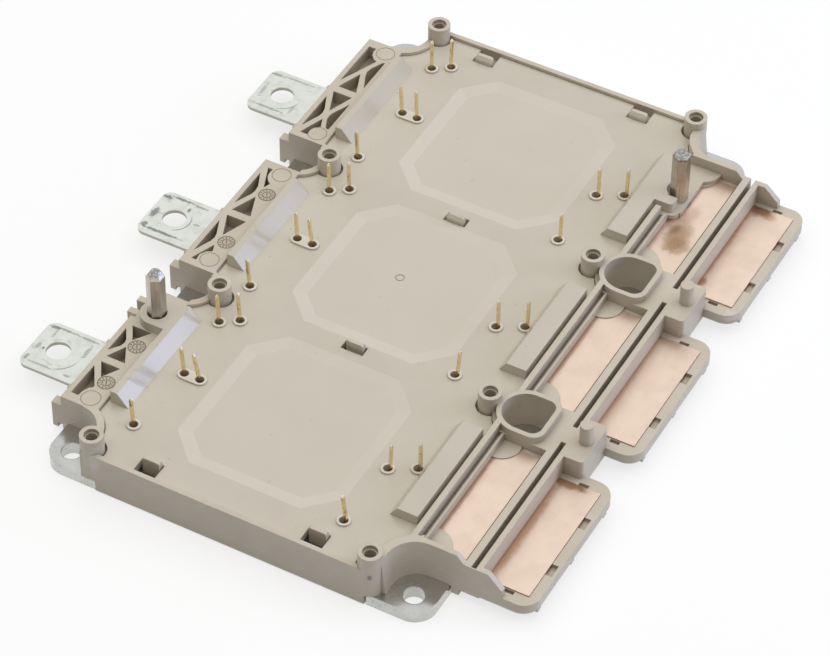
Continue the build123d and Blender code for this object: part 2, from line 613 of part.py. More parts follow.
def latches():
    # Two rails across the well and a foot on the end walls carry the latches
    shapes = []
    for x0, _, y0, y1 in CLIPS:
        inner = x0 + LATCH_GAP
        outer = inner + LATCH_THICK
        low_y = (y0 + y1 - LATCH_WIDTH) / 2 + LATCH_SHIFT
        profile = ((inner, RAIL_BOTTOM), (inner, LATCH_NOSE_TOP), (inner + LATCH_SLOPE, LATCH_TOP),
                   (outer, LATCH_TOP), (outer, RAIL_BOTTOM))
        for side in (-1, 1):
            outline = Polyline(*[(side * x, low_y, z) for x, z in profile], close=True)
            latch = extrude(make_face(outline), LATCH_WIDTH, dir=(0, 1, 0))
            shapes.append(fillet(latch.edges().filter_by(Axis.X).sort_by(Axis.Z)[-2:], LATCH_ROUND))
            if x0 > PITCH:
                end = HALF_BODY - CAVITY_INSET + 0.3
                rail = (min(side * inner, side * end), max(side * inner, side * end), low_y, low_y + LATCH_WIDTH)
            else:
                rail = (min(side * inner, side * outer), max(side * inner, side * outer),
                        BOSS_AC_Y + BOSS_R, BOSS_DC_Y - BOSS_R)
            shapes.append(box(*rail, RAIL_BOTTOM, RAIL_TOP))
    return shapes


def make_seal():
    z1 = BASE_THICK + SEAL_THICK
    return cavity(BASE_THICK, z1, SEAL_OUT) - cavity(BASE_THICK - 1, z1 + 1, SEAL_IN)


def lid_plan(grow, z0, z1):
    plan = box(-LID_HALF - grow, LID_HALF + grow, LID_AC_Y - grow, LID_DC_Y + grow, z0, z1)
    plan -= recess_cut((RECESS_RIM_AC - grow, RECESS_RIM_DC - grow), z0 - 1, z1 + 1)
    plan -= slot_cut(SLOT_RIM - grow, z0 - 1, z1 + 1)
    for x in SCREW_X:
        plan -= rod(x, COLLAR_Y, COLLAR_R + COLLAR_WALL + 0.9 - grow, z0 - 1, z1 + 1)
    if grow == 0:
        plan -= bosses(BOSS_R + BOSS_GAP, z0 - 1, z1 + 1)
    return plan


# Lid

def octagon(x, z, inset):
    x0 = x - OCTAGON_X + inset
    x1 = x + OCTAGON_X - inset
    y0 = OCTAGON_Y0 + inset
    y1 = OCTAGON_Y1 - inset
    c = OCTAGON_CUT - inset * 0.5858
    points = [(x0 + c, y0), (x1 - c, y0), (x1, y0 + c), (x1, y1 - c),
              (x1 - c, y1), (x0 + c, y1), (x0, y1 - c), (x0, y0 + c)]
    return make_face(Polyline(*[(px, py, z) for px, py in points], close=True))


def dished_panel(x):
    # Flat octagon with a wide sloped border
    return loft([octagon(x, LID_TOP, 0), octagon(x, LID_TOP - OCTAGON_DEPTH, OCTAGON_BORDER)])


def make_lid():
    lid = lid_plan(0, LID_TOP - LID_THICK, LID_TOP)
    for x in PHASE_X:
        lid -= dished_panel(x)
        # Wedge along the AC block
        far_end = WEDGE_LONG_END if x > PITCH / 2 else WEDGE_HALF
        lid += along_x(((WEDGE_Y0, LID_TOP - 1), (WEDGE_Y0, WEDGE_TOP), (WEDGE_Y1, WEDGE_TOP),
                        (WEDGE_Y2, LID_TOP), (WEDGE_Y2, LID_TOP - 1)), x - far_end, x + WEDGE_HALF)
        # Bar along the DC rib
        bar = box(x + BAR_X0, x + BAR_X1, BAR_Y0 - BAR_BEVEL, BAR_Y1, LID_TOP - 1, RIM_TOP)
        bar = chamfer(bar.edges().filter_by(Axis.X).sort_by(Axis.Z)[-2:].sort_by(Axis.Y)[0],
                      RIM_TOP - LID_TOP, BAR_BEVEL)
        lid += bar
        for dx, dy in AC_PINS + DC_PINS:
            lid += rod(x + dx, dy, RING_R, LID_TOP - 0.5, RING_TOP)
        (ax, ay), (bx, by) = AC_PINS[2], AC_PINS[3]
        lid += box(x + ax - RING_R, x + ax + RING_R, ay, by, LID_TOP - 0.5, RING_TOP)
    # Lug round the AC dowel, lying on the block top
    lx, ly = DOWEL_AC
    lid += rod(lx, ly, LUG_R, LUG_BOTTOM, WEDGE_TOP)
    lid += box(lx - LUG_R, lx + LUG_R, ly, WEDGE_Y0, LUG_BOTTOM, WEDGE_TOP)
    lid -= rod(lx, ly, DOWEL_HOLE / 2, LUG_BOTTOM - 1, WEDGE_TOP + 1)
    # Open hook round the DC dowel
    fx, fy = DOWEL_DC
    fork = rounded(fx - FORK_HALF, fx + FORK_HALF, BAR_Y1 - 1.5, FORK_END_Y, FORK_BOTTOM, RIM_TOP, 0.9)
    fork -= rod(fx, fy, FORK_SLOT / 2, FORK_BOTTOM - 1, RIM_TOP + 1)
    fork -= box(fx - FORK_HALF - 1, fx + FORK_SLOT / 2, fy - 1.5, FORK_END_Y + 1, FORK_BOTTOM - 1, RIM_TOP + 1)
    lid += fork
    for x0, x1, y0, y1 in CLIPS:
        lid -= box(x0, x1, y0, y1, LID_TOP - LID_THICK - 1, LID_TOP + 1)
        lid -= box(-x1, -x0, y0, y1, LID_TOP - LID_THICK - 1, LID_TOP + 1)
    for x in PHASE_X:
        for dx, dy in AC_PINS + DC_PINS:
            lid -= rod(x + dx, dy, RING_HOLE, LID_TOP - LID_THICK - 1, RING_TOP + 1)
    gx, gy = GATE_MARK
    z = LID_TOP - OCTAGON_DEPTH
    lid -= ring(gx, gy, GATE_MARK_R, 0.35, z - 0.15, z + 1)
    return lid


# Terminals

def make_ac_terminal(x):
    mid = x + TAB_SHIFT
    z0 = AC_TAB_TOP - STRIP_THICK
    half = TAB_WIDTH / 2
    tab = box(mid - half, mid + half, TAB_END_Y, TAB_IN_Y, z0, AC_TAB_TOP)
    corners = tab.edges().filter_by(Axis.Z).sort_by(Axis.Y)[:2]
    tab = fillet(corners, TAB_ROUND)
    tab += box(mid - half, mid + half, TAB_IN_Y - FOOT_LENGTH, TAB_IN_Y, TRACK_TOP, z0)
    return tab - rod(mid, TAB_HOLE_Y, TAB_HOLE / 2, z0 - 1, AC_TAB_TOP + 1)


def dc_strip(x0, x1, y1):
    # Low strip that runs inward under the wall to its foot on the substrate
    low = OUTER_PAD_TOP - STRIP_THICK
    strip = box(x0, x1, DC_FOOT_Y, y1, low, OUTER_PAD_TOP)
    strip += box(x0, x1, DC_FOOT_Y, DC_FOOT_Y + DC_FOOT_LENGTH, TRACK_TOP, low)
    return strip


def make_inner_terminal(x):
    z0 = INNER_PAD_TOP - STRIP_THICK
    low = OUTER_PAD_TOP - STRIP_THICK
    left = x - INNER_HALF
    pad = box(left, x + INNER_HALF, TRAY_Y0, INNER_Y1, z0, INNER_PAD_TOP)
    pad += box(left + 1, x - STRIP_GAP, TRAY_Y0 - 2.5, TRAY_Y0, z0, INNER_PAD_TOP)
    pad += box(left + 1, x - STRIP_GAP, TRAY_Y0 - 2.5, TRAY_Y0 - 1.5, low, INNER_PAD_TOP)
    pad += dc_strip(left + 1, x - STRIP_GAP, TRAY_Y0 - 1.5)
    dx, dy = DOWEL_DC
    return pad - rod(dx, dy, DOWEL_AF / 2 + 1.0, z0 - 2, INNER_PAD_TOP + 1)


def make_outer_terminal(x):
    z0 = OUTER_PAD_TOP - STRIP_THICK
    pad = box(x - PAD_HALF, x + PAD_HALF, OUTER_Y0, PAD_Y1, z0, OUTER_PAD_TOP)
    pad += dc_strip(x + STRIP_GAP, x + PAD_HALF - 1, OUTER_Y0)
    return pad


# Signal pins, each standing on its own track pad

def make_pin(x, y, lean, tx, ty):
    # lean is the way a pin beside the substrate edge reaches inward, (tx, ty) the place of its tip
    s = SIGNAL_SIDE / 2
    pin = box(x - s, x + s, y - s, y + s, TRACK_TOP, BEND_Z)
    rise = Vector(tx - x, ty - y, PIN_TOP - BEND_Z)
    upper = extrude(Pos(x, y, BEND_Z) * Rectangle(2 * s, 2 * s), amount=rise.length, dir=rise)
    upper = chamfer(upper.faces().sort_by(Axis.Z)[-1].edges(), 0.5, s * 0.5)
    pin += upper
    if lean:
        pin += box(min(x, x + lean * PIN_ARM), max(x, x + lean * PIN_ARM), y - s, y + s,
                   TRACK_TOP, TRACK_TOP + SIGNAL_SIDE)
    return pin


def make_pins(x, places, off, tips):
    pins = []
    for (dx, dy), (tx, ty) in zip(places, tips[PHASE_X.index(x)]):
        lean = 0
        if abs(dx) > SUB_HALF - SUB_EDGE:
            lean = -1 if dx > 0 else 1
        pins.append(make_pin(x + dx + off[0], dy + off[1], lean, x + dx + tx, dy + ty))
    return pins


def make_dowel(x, y, bottom, top, taper):
    six = extrude(RegularPolygon(DOWEL_AF / 2, 6, major_radius=False), top - bottom)
    return chamfer((Pos(x, y, bottom) * six).faces().sort_by(Axis.Z)[-1].edges(), taper * 1.6, taper)


def make_dowels():
    # The DC dowel is cut off short and nearly flat
    return [make_dowel(*DOWEL_AC, DOWEL_AC_BOTTOM, DOWEL_AC_TOP, DOWEL_TAPER),
            make_dowel(*DOWEL_DC, DOWEL_DC_BOTTOM, DOWEL_DC_TOP, DOWEL_CUT)]


# Power stack

def layer(x, edge, z0, z1):
    return box(x - SUB_HALF + edge, x + SUB_HALF - edge, SUB_Y0 + edge, SUB_Y1 - edge, z0, z1)


def pad_place(dx, dy):
    # Track pad under a pin, pulled inside the copper edge
    limit = SUB_HALF - SUB_EDGE - PIN_PAD / 2
    return max(-limit, min(limit, dx)), dy


def make_tracks(x):
    z0 = CERAMIC_TOP
    z1 = TRACK_TOP
    half = SUB_HALF - SUB_EDGE
    y0 = SUB_Y0 + SUB_EDGE
    y1 = SUB_Y1 - SUB_EDGE
    gap = TRACK_GAP / 2
    tracks = [
        box(x - half, x + half, y0, SPLIT_Y - gap, z0, z1),
        box(x - half, x - gap, SPLIT_Y + gap, y1, z0, z1),
        box(x + gap, x + half, SPLIT_Y + gap, y1, z0, z1),
    ]
    pads = []
    clear = []
    places = [pad_place(dx, dy) for dx, dy in AC_PINS + DC_PINS]
    places += [(SENSOR[0] - 1.6, SENSOR[1]), (SENSOR[0] + 1.6, SENSOR[1])]
    for dx, dy in places:
        h = PIN_PAD / 2
        bottom = max(dy - h, y0)
        top = min(dy + h, y1)
        pads.append(box(x + dx - h, x + dx + h, bottom, top, z0, z1))
        clear.append(box(x + dx - h - TRACK_GAP, x + dx + h + TRACK_GAP, bottom - TRACK_GAP,
                         top + TRACK_GAP, z0 - 1, z1 + 1))
    cut = []
    for track in tracks:
        cut += (track - clear).solids()
    return cut + pads


def chip_places():
    # High side chips over one pole of the link, low side chips over the phase track
    high = [(-3.8 - CHIP_PITCH * n, HIGH_ROW_Y) for n in range(3)]
    low = [(3.8 + CHIP_PITCH * n, LOW_ROW_Y) for n in range(3)]
    return high, low


def make_chips(x):
    high, low = chip_places()
    h = CHIP / 2
    return [box(x + cx - h, x + cx + h, cy - h, cy + h, TRACK_TOP, TRACK_TOP + CHIP_THICK)
            for cx, cy in high + low]


def ribbon(x, y0, z0, y1, z1):
    # Flat aluminium arch from a chip top at y0 to a track at y1
    w = RIBBON_WIDTH / 2
    t = RIBBON_THICK
    way = 1 if y1 > y0 else -1
    peak = z0 + RIBBON_RISE
    low = [(y0 - way * 0.8, z0), (y0 + way * 0.5, z0), (y0 + way * 1.6, peak - t), (y1 - way * 1.6, peak - t),
           (y1 - way * 0.5, z1), (y1 + way * 0.5, z1)]
    high = [(y1 + way * 0.5, z1 + t), (y1 - way * 0.35, z1 + t), (y1 - way * 1.5, peak),
            (y0 + way * 1.5, peak), (y0 + way * 0.35, z0 + t), (y0 - way * 0.8, z0 + t)]
    return along_x(low + high, x - w, x + w)


def make_ribbons(x):
    high, low = chip_places()
    top = TRACK_TOP + CHIP_THICK
    out = []
    for cx, cy in high:
        for dx in (-1.1, 1.1):
            out.append(ribbon(x + cx + dx, cy, top, SPLIT_Y - 2.5, TRACK_TOP))
    for cx, cy in low:
        for dx in (-1.1, 1.1):
            out.append(ribbon(x + cx + dx, cy, top, SPLIT_Y + 2.5, TRACK_TOP))
    return out


def make_sensor(x):
    sx, sy = SENSOR
    length, width, height = SENSOR_SIZE
    return box(x + sx - length / 2, x + sx + length / 2, sy - width / 2, sy + width / 2,
               TRACK_TOP, TRACK_TOP + height)


def make_gel(inside):
    return cavity(BASE_THICK, GEL_TOP) - (inside + latches())


def save(name, shapes):
    solids = []
    for shape in shapes:
        solids += shape.solids()
    whole = solids[0] if len(solids) == 1 else Compound(children=solids)
    export_step(whole, "parts/" + name + ".step")


os.makedirs("parts", exist_ok=True)

if __name__ == "__main__":
    save("baseplate", [make_baseplate()])
    save("housing_frame", [make_housing()])
    save("lid", [make_lid()])
    save("base_seal", [make_seal()])
    dowel_ac, dowel_dc = make_dowels()
    save("locating_dowel_ac", [dowel_ac])
    save("locating_dowel_dc", [dowel_dc])
    inside = []
    for letter, x in zip("uvw", PHASE_X):
        pieces = {
            "ac_terminal": [make_ac_terminal(x)],
            "dc_inner_terminal": [make_inner_terminal(x)],
            "dc_outer_terminal": [make_outer_terminal(x)],
            "ac_side_pins": make_pins(x, AC_PINS, AC_PIN_OFF, AC_TIPS),
            "dc_side_pins": make_pins(x, DC_PINS, DC_PIN_OFF, DC_TIPS),
            "base_solder": [layer(x, SUB_EDGE, BASE_THICK, SOLDER_TOP)],
            "lower_copper": [layer(x, SUB_EDGE, SOLDER_TOP, LOWER_TOP)],
            "ceramic": [layer(x, 0, LOWER_TOP, CERAMIC_TOP)],
            "track_copper": make_tracks(x),
            "chips": make_chips(x),
            "bond_ribbons": make_ribbons(x),
            "temperature_sensor": [make_sensor(x)],
        }
        for name, shapes in pieces.items():
            save(name + "_" + letter, shapes)
            inside += shapes
    save("silicone_gel", [make_gel(inside)])
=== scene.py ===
"""Looks of a three-phase power module: finishes, small surface detail, studio and camera."""

import json
import math

import bpy
from bpy.props import FloatProperty, FloatVectorProperty, PointerProperty
from bpy.types import Operator, Panel, PropertyGroup
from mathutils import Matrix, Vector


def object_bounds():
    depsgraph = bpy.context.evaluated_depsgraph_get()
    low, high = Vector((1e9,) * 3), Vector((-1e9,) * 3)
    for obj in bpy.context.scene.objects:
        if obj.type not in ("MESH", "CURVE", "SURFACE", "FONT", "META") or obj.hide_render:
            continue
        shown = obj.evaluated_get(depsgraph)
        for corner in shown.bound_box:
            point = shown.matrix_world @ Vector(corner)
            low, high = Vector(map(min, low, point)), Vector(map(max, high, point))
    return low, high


bl_info = {
    "name": "Power module looks",
    "version": (1, 0, 0),
    "blender": (4, 5, 0),
    "location": "3D View > Sidebar > Power module",
    "description": "Finishes, surface detail, studio and camera for a three-phase power module",
    "category": "Object",
}

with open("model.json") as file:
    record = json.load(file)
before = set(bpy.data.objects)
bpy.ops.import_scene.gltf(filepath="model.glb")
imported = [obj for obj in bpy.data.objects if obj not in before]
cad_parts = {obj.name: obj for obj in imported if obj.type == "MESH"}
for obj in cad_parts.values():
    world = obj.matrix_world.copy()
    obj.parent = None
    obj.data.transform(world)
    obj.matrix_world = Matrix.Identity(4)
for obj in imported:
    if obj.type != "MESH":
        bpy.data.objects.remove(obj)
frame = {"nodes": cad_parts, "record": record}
CAD_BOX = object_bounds()
MOUNTS = {mount["name"]: mount for mount in frame["record"]["mounts"]}
PHASES = ("u", "v", "w")
MM = 0.001


def mount_place(name):
    """Where one of the part's mounts lies, in mm."""
    return tuple(c / MM for c in MOUNTS[name]["pos_m"])


# Places and sizes of the solids in mm, from the underside up, -Y the side of the bolt tabs
PITCH = MOUNTS["cooler_bolts_middle"]["dims"]["spacing_x_mm"]
OUTER_PAD_TOP = mount_place("dc_outer_pad_face")[2]
INNER_PAD_TOP = mount_place("dc_inner_pad_face")[2]
TAB_TOP = mount_place("ac_tab_bolt_u")[2] + MOUNTS["ac_tab_bolt_u"]["dims"]["length_mm"] / 2
PANEL_LEVEL = 9.5
RING_LEVEL = 10.15
BLOCK_TOP = 10.45
DIALS = ((-8.6, -41.2), (8.9, -41.2), (46.0, -41.2), (58.2, -41.2))
WEDGE_MIDDLE = (0.0, -34.9, 11.3)
PIN_TOP = 17.5
DOWEL_TOPS = ((36.9, -41.6, 25.0), (-53.5, 38.7, 22.6))
OCTAGON_HALF_X = 21.0
OCTAGON_HALF_Y = 20.1
OCTAGON_MIDDLE_Y = -1.3
OCTAGON_CORNER = 34.3
OCTAGON_BORDER = 3.0
# A reach past the whole part, for a zone that is limited along other axes only
WHOLE = 400.0

# Studio, in metres
FLOOR_REACH = 6.0
FLOOR_GAP = 0.02 * MM
FLOOR_GLOW = 0.7

# Framing of the photograph
SENSOR_WIDTH = 36.0
CAMERA_SHIFT = (-0.00253, -0.00125)

# Colour sockets of a mix node, by number because its other kinds of socket share their names
MIX_UNDER, MIX_OVER, MIX_RESULT = 6, 7, 2


def linear(hex_colour):
    """Turns an sRGB hex colour into the linear values that a shader takes."""
    channels = [int(hex_colour[i : i + 2], 16) / 255 for i in (1, 3, 5)]
    return tuple(c / 12.92 if c <= 0.04045 else ((c + 0.055) / 1.055) ** 2.4 for c in channels)


def rgba(colour):
    """A colour with full alpha, as colour sockets take it."""
    return (*colour[:3], 1.0)


def add_node(tree, kind, settings=None, values=None, links=None):
    """Adds one node, sets what it holds and joins its inputs to (node, output) pairs."""
    node = tree.nodes.new(kind)
    for name, value in (settings or {}).items():
        setattr(node, name, value)
    for socket, value in (values or {}).items():
        node.inputs[socket].default_value = value
    for socket, (source, output) in (links or {}).items():
        tree.links.new(source.outputs[output], node.inputs[socket])
    return node


def new_material(name, values):
    """A material with one main shader whose plain sockets hold the given values.

    Returns the material, its node tree, the shader and the node that gives places on the solid.
    """
    material = bpy.data.materials.new(name)
    material.use_nodes = True
    tree = material.node_tree
    tree.nodes.clear()
    shader = add_node(tree, "ShaderNodeBsdfPrincipled", values=values)
    add_node(tree, "ShaderNodeOutputMaterial", links={"Surface": (shader, "BSDF")})
    place = add_node(tree, "ShaderNodeTexCoord")
    return material, tree, shader, place


def seen_straight(tree):
    """1 where the camera, a mirror or a clear piece sees the background, 0 where it lights the object."""
    ray = add_node(tree, "ShaderNodeLightPath")
    seen = add_node(
        tree,
        "ShaderNodeMath",
        {"operation": "MAXIMUM"},
        links={0: (ray, "Is Camera Ray"), 1: (ray, "Is Glossy Ray")},
    )
    return add_node(
        tree,
        "ShaderNodeMath",
        {"operation": "MAXIMUM"},
        links={0: (seen, 0), 1: (ray, "Is Transmission Ray")},
    )


def cloud(tree, place, width, low, high, detail=3.0, stretch=(1.0, 1.0, 1.0)):
    """A soft mask from 0 to 1 of blotches about width metres wide, longer where stretch is above 1."""
    squeeze = add_node(
        tree,
        "ShaderNodeVectorMath",
        {"operation": "MULTIPLY"},
        {1: tuple(1 / s for s in stretch)},
        {0: (place, "Object")},
    )
    noise = add_node(
        tree,
        "ShaderNodeTexNoise",
        values={"Scale": 1 / width, "Detail": detail, "Roughness": 0.55},
        links={"Vector": (squeeze, 0)},
    )
    return add_node(
        tree,
        "ShaderNodeMapRange",
        {"interpolation_type": "SMOOTHSTEP"},
        {"From Min": low, "From Max": high},
        {"Value": (noise, 0)},
    )


def patch(tree, place, centre, reach, edge=0.3, ragged=0.25, grain=2.0, turn=None):
    """A mask that is 1 inside an ellipsoid round centre and fades to 0 over a ragged edge; sizes in mm.

    Noise grain mm wide makes the edge ragged, and turn holds degrees round x, y and z.
    """
    away = add_node(
        tree,
        "ShaderNodeVectorMath",
        {"operation": "SUBTRACT"},
        {1: tuple(c * MM for c in centre)},
        {0: (place, "Object")},
    )
    if turn:
        away = add_node(
            tree,
            "ShaderNodeVectorRotate",
            {"rotation_type": "EULER_XYZ", "invert": True},
            {"Rotation": tuple(math.radians(a) for a in turn)},
            {"Vector": (away, 0)},
        )
    share = add_node(
        tree,
        "ShaderNodeVectorMath",
        {"operation": "MULTIPLY"},
        {1: tuple(1 / (r * MM) for r in reach)},
        {0: (away, 0)},
    )
    length = add_node(tree, "ShaderNodeVectorMath", {"operation": "LENGTH"}, links={0: (share, 0)})
    noise = add_node(
        tree,
        "ShaderNodeTexNoise",
        values={"Scale": 1 / (grain * MM), "Detail": 3.0},
        links={"Vector": (place, "Object")},
    )
    wobble = add_node(
        tree,
        "ShaderNodeMath",
        {"operation": "MULTIPLY_ADD"},
        {1: ragged * 2},
        {0: (noise, 0), 2: (length, "Value")},
    )
    return add_node(
        tree,
        "ShaderNodeMapRange",
        {"interpolation_type": "SMOOTHSTEP"},
        {"From Min": 1 + ragged - edge, "From Max": 1 + ragged + edge, "To Min": 1.0, "To Max": 0.0},
        {"Value": (wobble, 0)},
    )


def arc_scratch(tree, place, centre, radius, width, near, reach):
    """Two masks for a scratch round an upright axis, its line and the part of it round near; sizes in mm."""
    away = add_node(
        tree,
        "ShaderNodeVectorMath",
        {"operation": "MULTIPLY_ADD"},
        {1: (1 / MM, 1 / MM, 0.0), 2: (-centre[0], -centre[1], 0.0)},
        {0: (place, "Object")},
    )
    length = add_node(tree, "ShaderNodeVectorMath", {"operation": "LENGTH"}, links={0: (away, 0)})
    line = add_node(
        tree,
        "ShaderNodeMath",
        {"operation": "COMPARE"},
        {1: radius, 2: width / 2},
        {0: (length, "Value")},
    )
    return line, patch(tree, place, near, reach, 0.4, 0.6, 0.8)


def octagon_zones(tree, place):
    """Three masks for the lid's octagons, repeated at every phase: flats, sloped borders and their level."""
    spot = add_node(tree, "ShaderNodeSeparateXYZ", links={0: (place, "Object")})
    x = add_node(tree, "ShaderNodeMath", {"operation": "PINGPONG"}, {1: PITCH / 2 * MM}, {0: (spot, "X")})
    # Beyond the outer octagons the distance goes on growing, so that no fourth one starts at the ends.
    end = add_node(tree, "ShaderNodeMath", {"operation": "ABSOLUTE"}, links={0: (spot, "X")})
    end = add_node(tree, "ShaderNodeMath", {"operation": "SUBTRACT"}, {1: PITCH * MM}, {0: (end, 0)})
    x = add_node(tree, "ShaderNodeMath", {"operation": "MAXIMUM"}, links={0: (x, 0), 1: (end, 0)})
    y = add_node(tree, "ShaderNodeMath", {"operation": "ADD"}, {1: -OCTAGON_MIDDLE_Y * MM}, {0: (spot, "Y")})
    y = add_node(tree, "ShaderNodeMath", {"operation": "ABSOLUTE"}, links={0: (y, 0)})
    slant = add_node(tree, "ShaderNodeMath", {"operation": "ADD"}, links={0: (x, 0), 1: (y, 0)})
    half_x, half_y = OCTAGON_HALF_X * MM, OCTAGON_HALF_Y * MM
    beyond_x = add_node(tree, "ShaderNodeMath", {"operation": "SUBTRACT"}, {1: half_x}, {0: (x, 0)})
    beyond_y = add_node(tree, "ShaderNodeMath", {"operation": "SUBTRACT"}, {1: half_y}, {0: (y, 0)})
    diagonal = math.sqrt(0.5)
    beyond_slant = add_node(
        tree,
        "ShaderNodeMath",
        {"operation": "MULTIPLY_ADD"},
        {1: diagonal, 2: -OCTAGON_CORNER * diagonal * MM},
        {0: (slant, 0)},
    )
    beyond = beyond_x
    for other in (beyond_y, beyond_slant):
        links = {0: (beyond, 0), 1: (other, 0)}
        beyond = add_node(tree, "ShaderNodeMath", {"operation": "MAXIMUM"}, links=links)
    # The flats start over a soft edge at the foot of the border.
    flats = add_node(
        tree,
        "ShaderNodeMapRange",
        values={"From Min": (0.2 - OCTAGON_BORDER) * MM, "From Max": (-0.1 - OCTAGON_BORDER) * MM},
        links={"Value": (beyond, 0)},
    )
    borders = add_node(
        tree,
        "ShaderNodeMath",
        {"operation": "COMPARE"},
        {1: -OCTAGON_BORDER / 2 * MM, 2: OCTAGON_BORDER / 2 * MM},
        {0: (beyond, 0)},
    )
    level = patch(tree, place, (0.0, 0.0, PANEL_LEVEL), (WHOLE, WHOLE, 0.6), 0.1, 0.0)
    return flats, borders, level


def corner_shade(tree, width, own=True):
    """A mask for painted shade, high in grooves and inside corners narrower than width metres.

    With own False it is high beside other pieces too.
    """
    open_share = add_node(
        tree,
        "ShaderNodeAmbientOcclusion",
        {"samples": 4, "only_local": own},
        {"Distance": width},
    )
    return add_node(
        tree,
        "ShaderNodeMapRange",
        {"interpolation_type": "SMOOTHSTEP"},
        {"From Min": 0.85, "From Max": 0.3},
        {"Value": (open_share, "AO")},
    )


def paint(tree, under, masks, over, amount):
    """Lays a colour over another where every one of the masks is high, by at most amount."""
    share = add_node(tree, "ShaderNodeMath", {"operation": "MULTIPLY"}, {1: amount}, {0: (masks[0], 0)})
    for mask in masks[1:]:
        links = {0: (share, 0), 1: (mask, 0)}
        share = add_node(tree, "ShaderNodeMath", {"operation": "MULTIPLY"}, links=links)
    mix = add_node(tree, "ShaderNodeMix", {"data_type": "RGBA"}, links={0: (share, 0)})
    for socket, colour in ((MIX_UNDER, under), (MIX_OVER, over)):
        if isinstance(colour[0], bpy.types.Node):
            tree.links.new(colour[0].outputs[colour[1]], mix.inputs[socket])
        else:
            mix.inputs[socket].default_value = rgba(colour)
    return mix, MIX_RESULT


def softened_edges(tree, radius, height, depth):
    """The rounded edge and the fine relief of a surface, as the shader's normal."""
    bevel = add_node(tree, "ShaderNodeBevel", {"samples": 4}, {"Radius": radius})
    return add_node(
        tree,
        "ShaderNodeBump",
        values={"Strength": 1.0, "Distance": depth},
        links={"Height": (height, 0), "Normal": (bevel, 0)},
    )


def join(tree, shader, colour, normal=None):
    """Joins the finished colour and normal to the main shader."""
    tree.links.new(colour[0].outputs[colour[1]], shader.inputs["Base Color"])
    if normal:
        tree.links.new(normal.outputs[0], shader.inputs["Normal"])


def dress(nodes, material):
    """Gives solids of the frame their finish as their one material."""
    for name in nodes:
        node = frame["nodes"][name]
        node.data.materials.clear()
        node.data.materials.append(material)


class PlasticSettings(PropertyGroup):
    """Colours and skin of the two mouldings"""

    frame_colour: FloatVectorProperty(
        name="Frame colour",
        description="Colour of the moulded frame in plain light",
        subtype="COLOR",
        size=3,
        min=0.0,
        max=1.0,
        default=linear("#C9BFAE"),
    )
    lid_colour: FloatVectorProperty(
        name="Lid colour",
        description="Colour of the moulded lid in plain light",
        subtype="COLOR",
        size=3,
        min=0.0,
        max=1.0,
        default=linear("#C9C1B1"),
    )
    edge_round: FloatProperty(
        name="Edge rounding",
        description="Radius that the mould leaves on sharp edges",
        unit="LENGTH",
        min=0.0,
        default=0.2 * MM,
    )
    grain: FloatProperty(
        name="Grain",
        description="Width of a grain of the moulded skin, coarser than the real 0.05 mm so that it shows",
        unit="LENGTH",
        min=0.00001,
        default=0.3 * MM,
    )


class MetalSettings(PropertyGroup):
    """Colours of the metals seen from outside"""

    pad_colour: FloatVectorProperty(
        name="Pad colour",
        description="Colour of the clean copper pads",
        subtype="COLOR",
        size=3,
        min=0.0,
        max=1.0,
        default=linear("#F2DCC8"),
    )
    tab_colour: FloatVectorProperty(
        name="Tab colour",
        description="Colour of the clean tin plating on the bolt tabs",
        subtype="COLOR",
        size=3,
        min=0.0,
        max=1.0,
        default=linear("#E1E4DB"),
    )
    pin_colour: FloatVectorProperty(
        name="Pin colour",
        description="Colour of the thin gold plating on the pins",
        subtype="COLOR",
        size=3,
        min=0.0,
        max=1.0,
        default=linear("#F0DDB0"),
    )
    base_colour: FloatVectorProperty(
        name="Base colour",
        description="Colour of the nickel plating on the baseplate",
        subtype="COLOR",
        size=3,
        min=0.0,
        max=1.0,
        default=linear("#C9C9C6"),
    )
    dowel_colour: FloatVectorProperty(
        name="Dowel colour",
        description="Colour of the drawn steel dowels",
        subtype="COLOR",
        size=3,
        min=0.0,
        max=1.0,
        default=linear("#C9C3BA"),
    )


class StudioSettings(PropertyGroup):
    """Camera and lights"""

    camera_place: FloatVectorProperty(
        name="Camera place",
        description="Where the camera stands",
        subtype="TRANSLATION",
        size=3,
        default=(0.50845, 0.27611, 0.57229),
    )
    camera_turn: FloatVectorProperty(
        name="Camera turn",
        description="How the camera is turned",
        subtype="EULER",
        size=3,
        default=tuple(math.radians(a) for a in (45.14545, -0.47453, 118.82296)),
    )
    lens: FloatProperty(
        name="Lens",
        description="Focal length on a 36 mm wide sensor, in millimetres",
        unit="CAMERA",
        min=10.0,
        default=161.196,
    )
    top_light: FloatProperty(
        name="Top light",
        description="Power of the large soft light above, in watts",
        subtype="POWER",
        min=0.0,
        default=22.5,
    )
    side_light: FloatProperty(
        name="Side light",
        description="Power of the small cool light that stands low beyond the copper pads, in watts",
        subtype="POWER",
        min=0.0,
        default=2.2,
    )
    window_light: FloatProperty(
        name="Window light",
        description="Power of the wide pale light beyond the copper pads, in watts",
        subtype="POWER",
        min=0.0,
        default=3.2,
    )
    sky: FloatProperty(
        name="Room light",
        description="Strength of the even light of the room",
        min=0.0,
        default=0.06,
    )


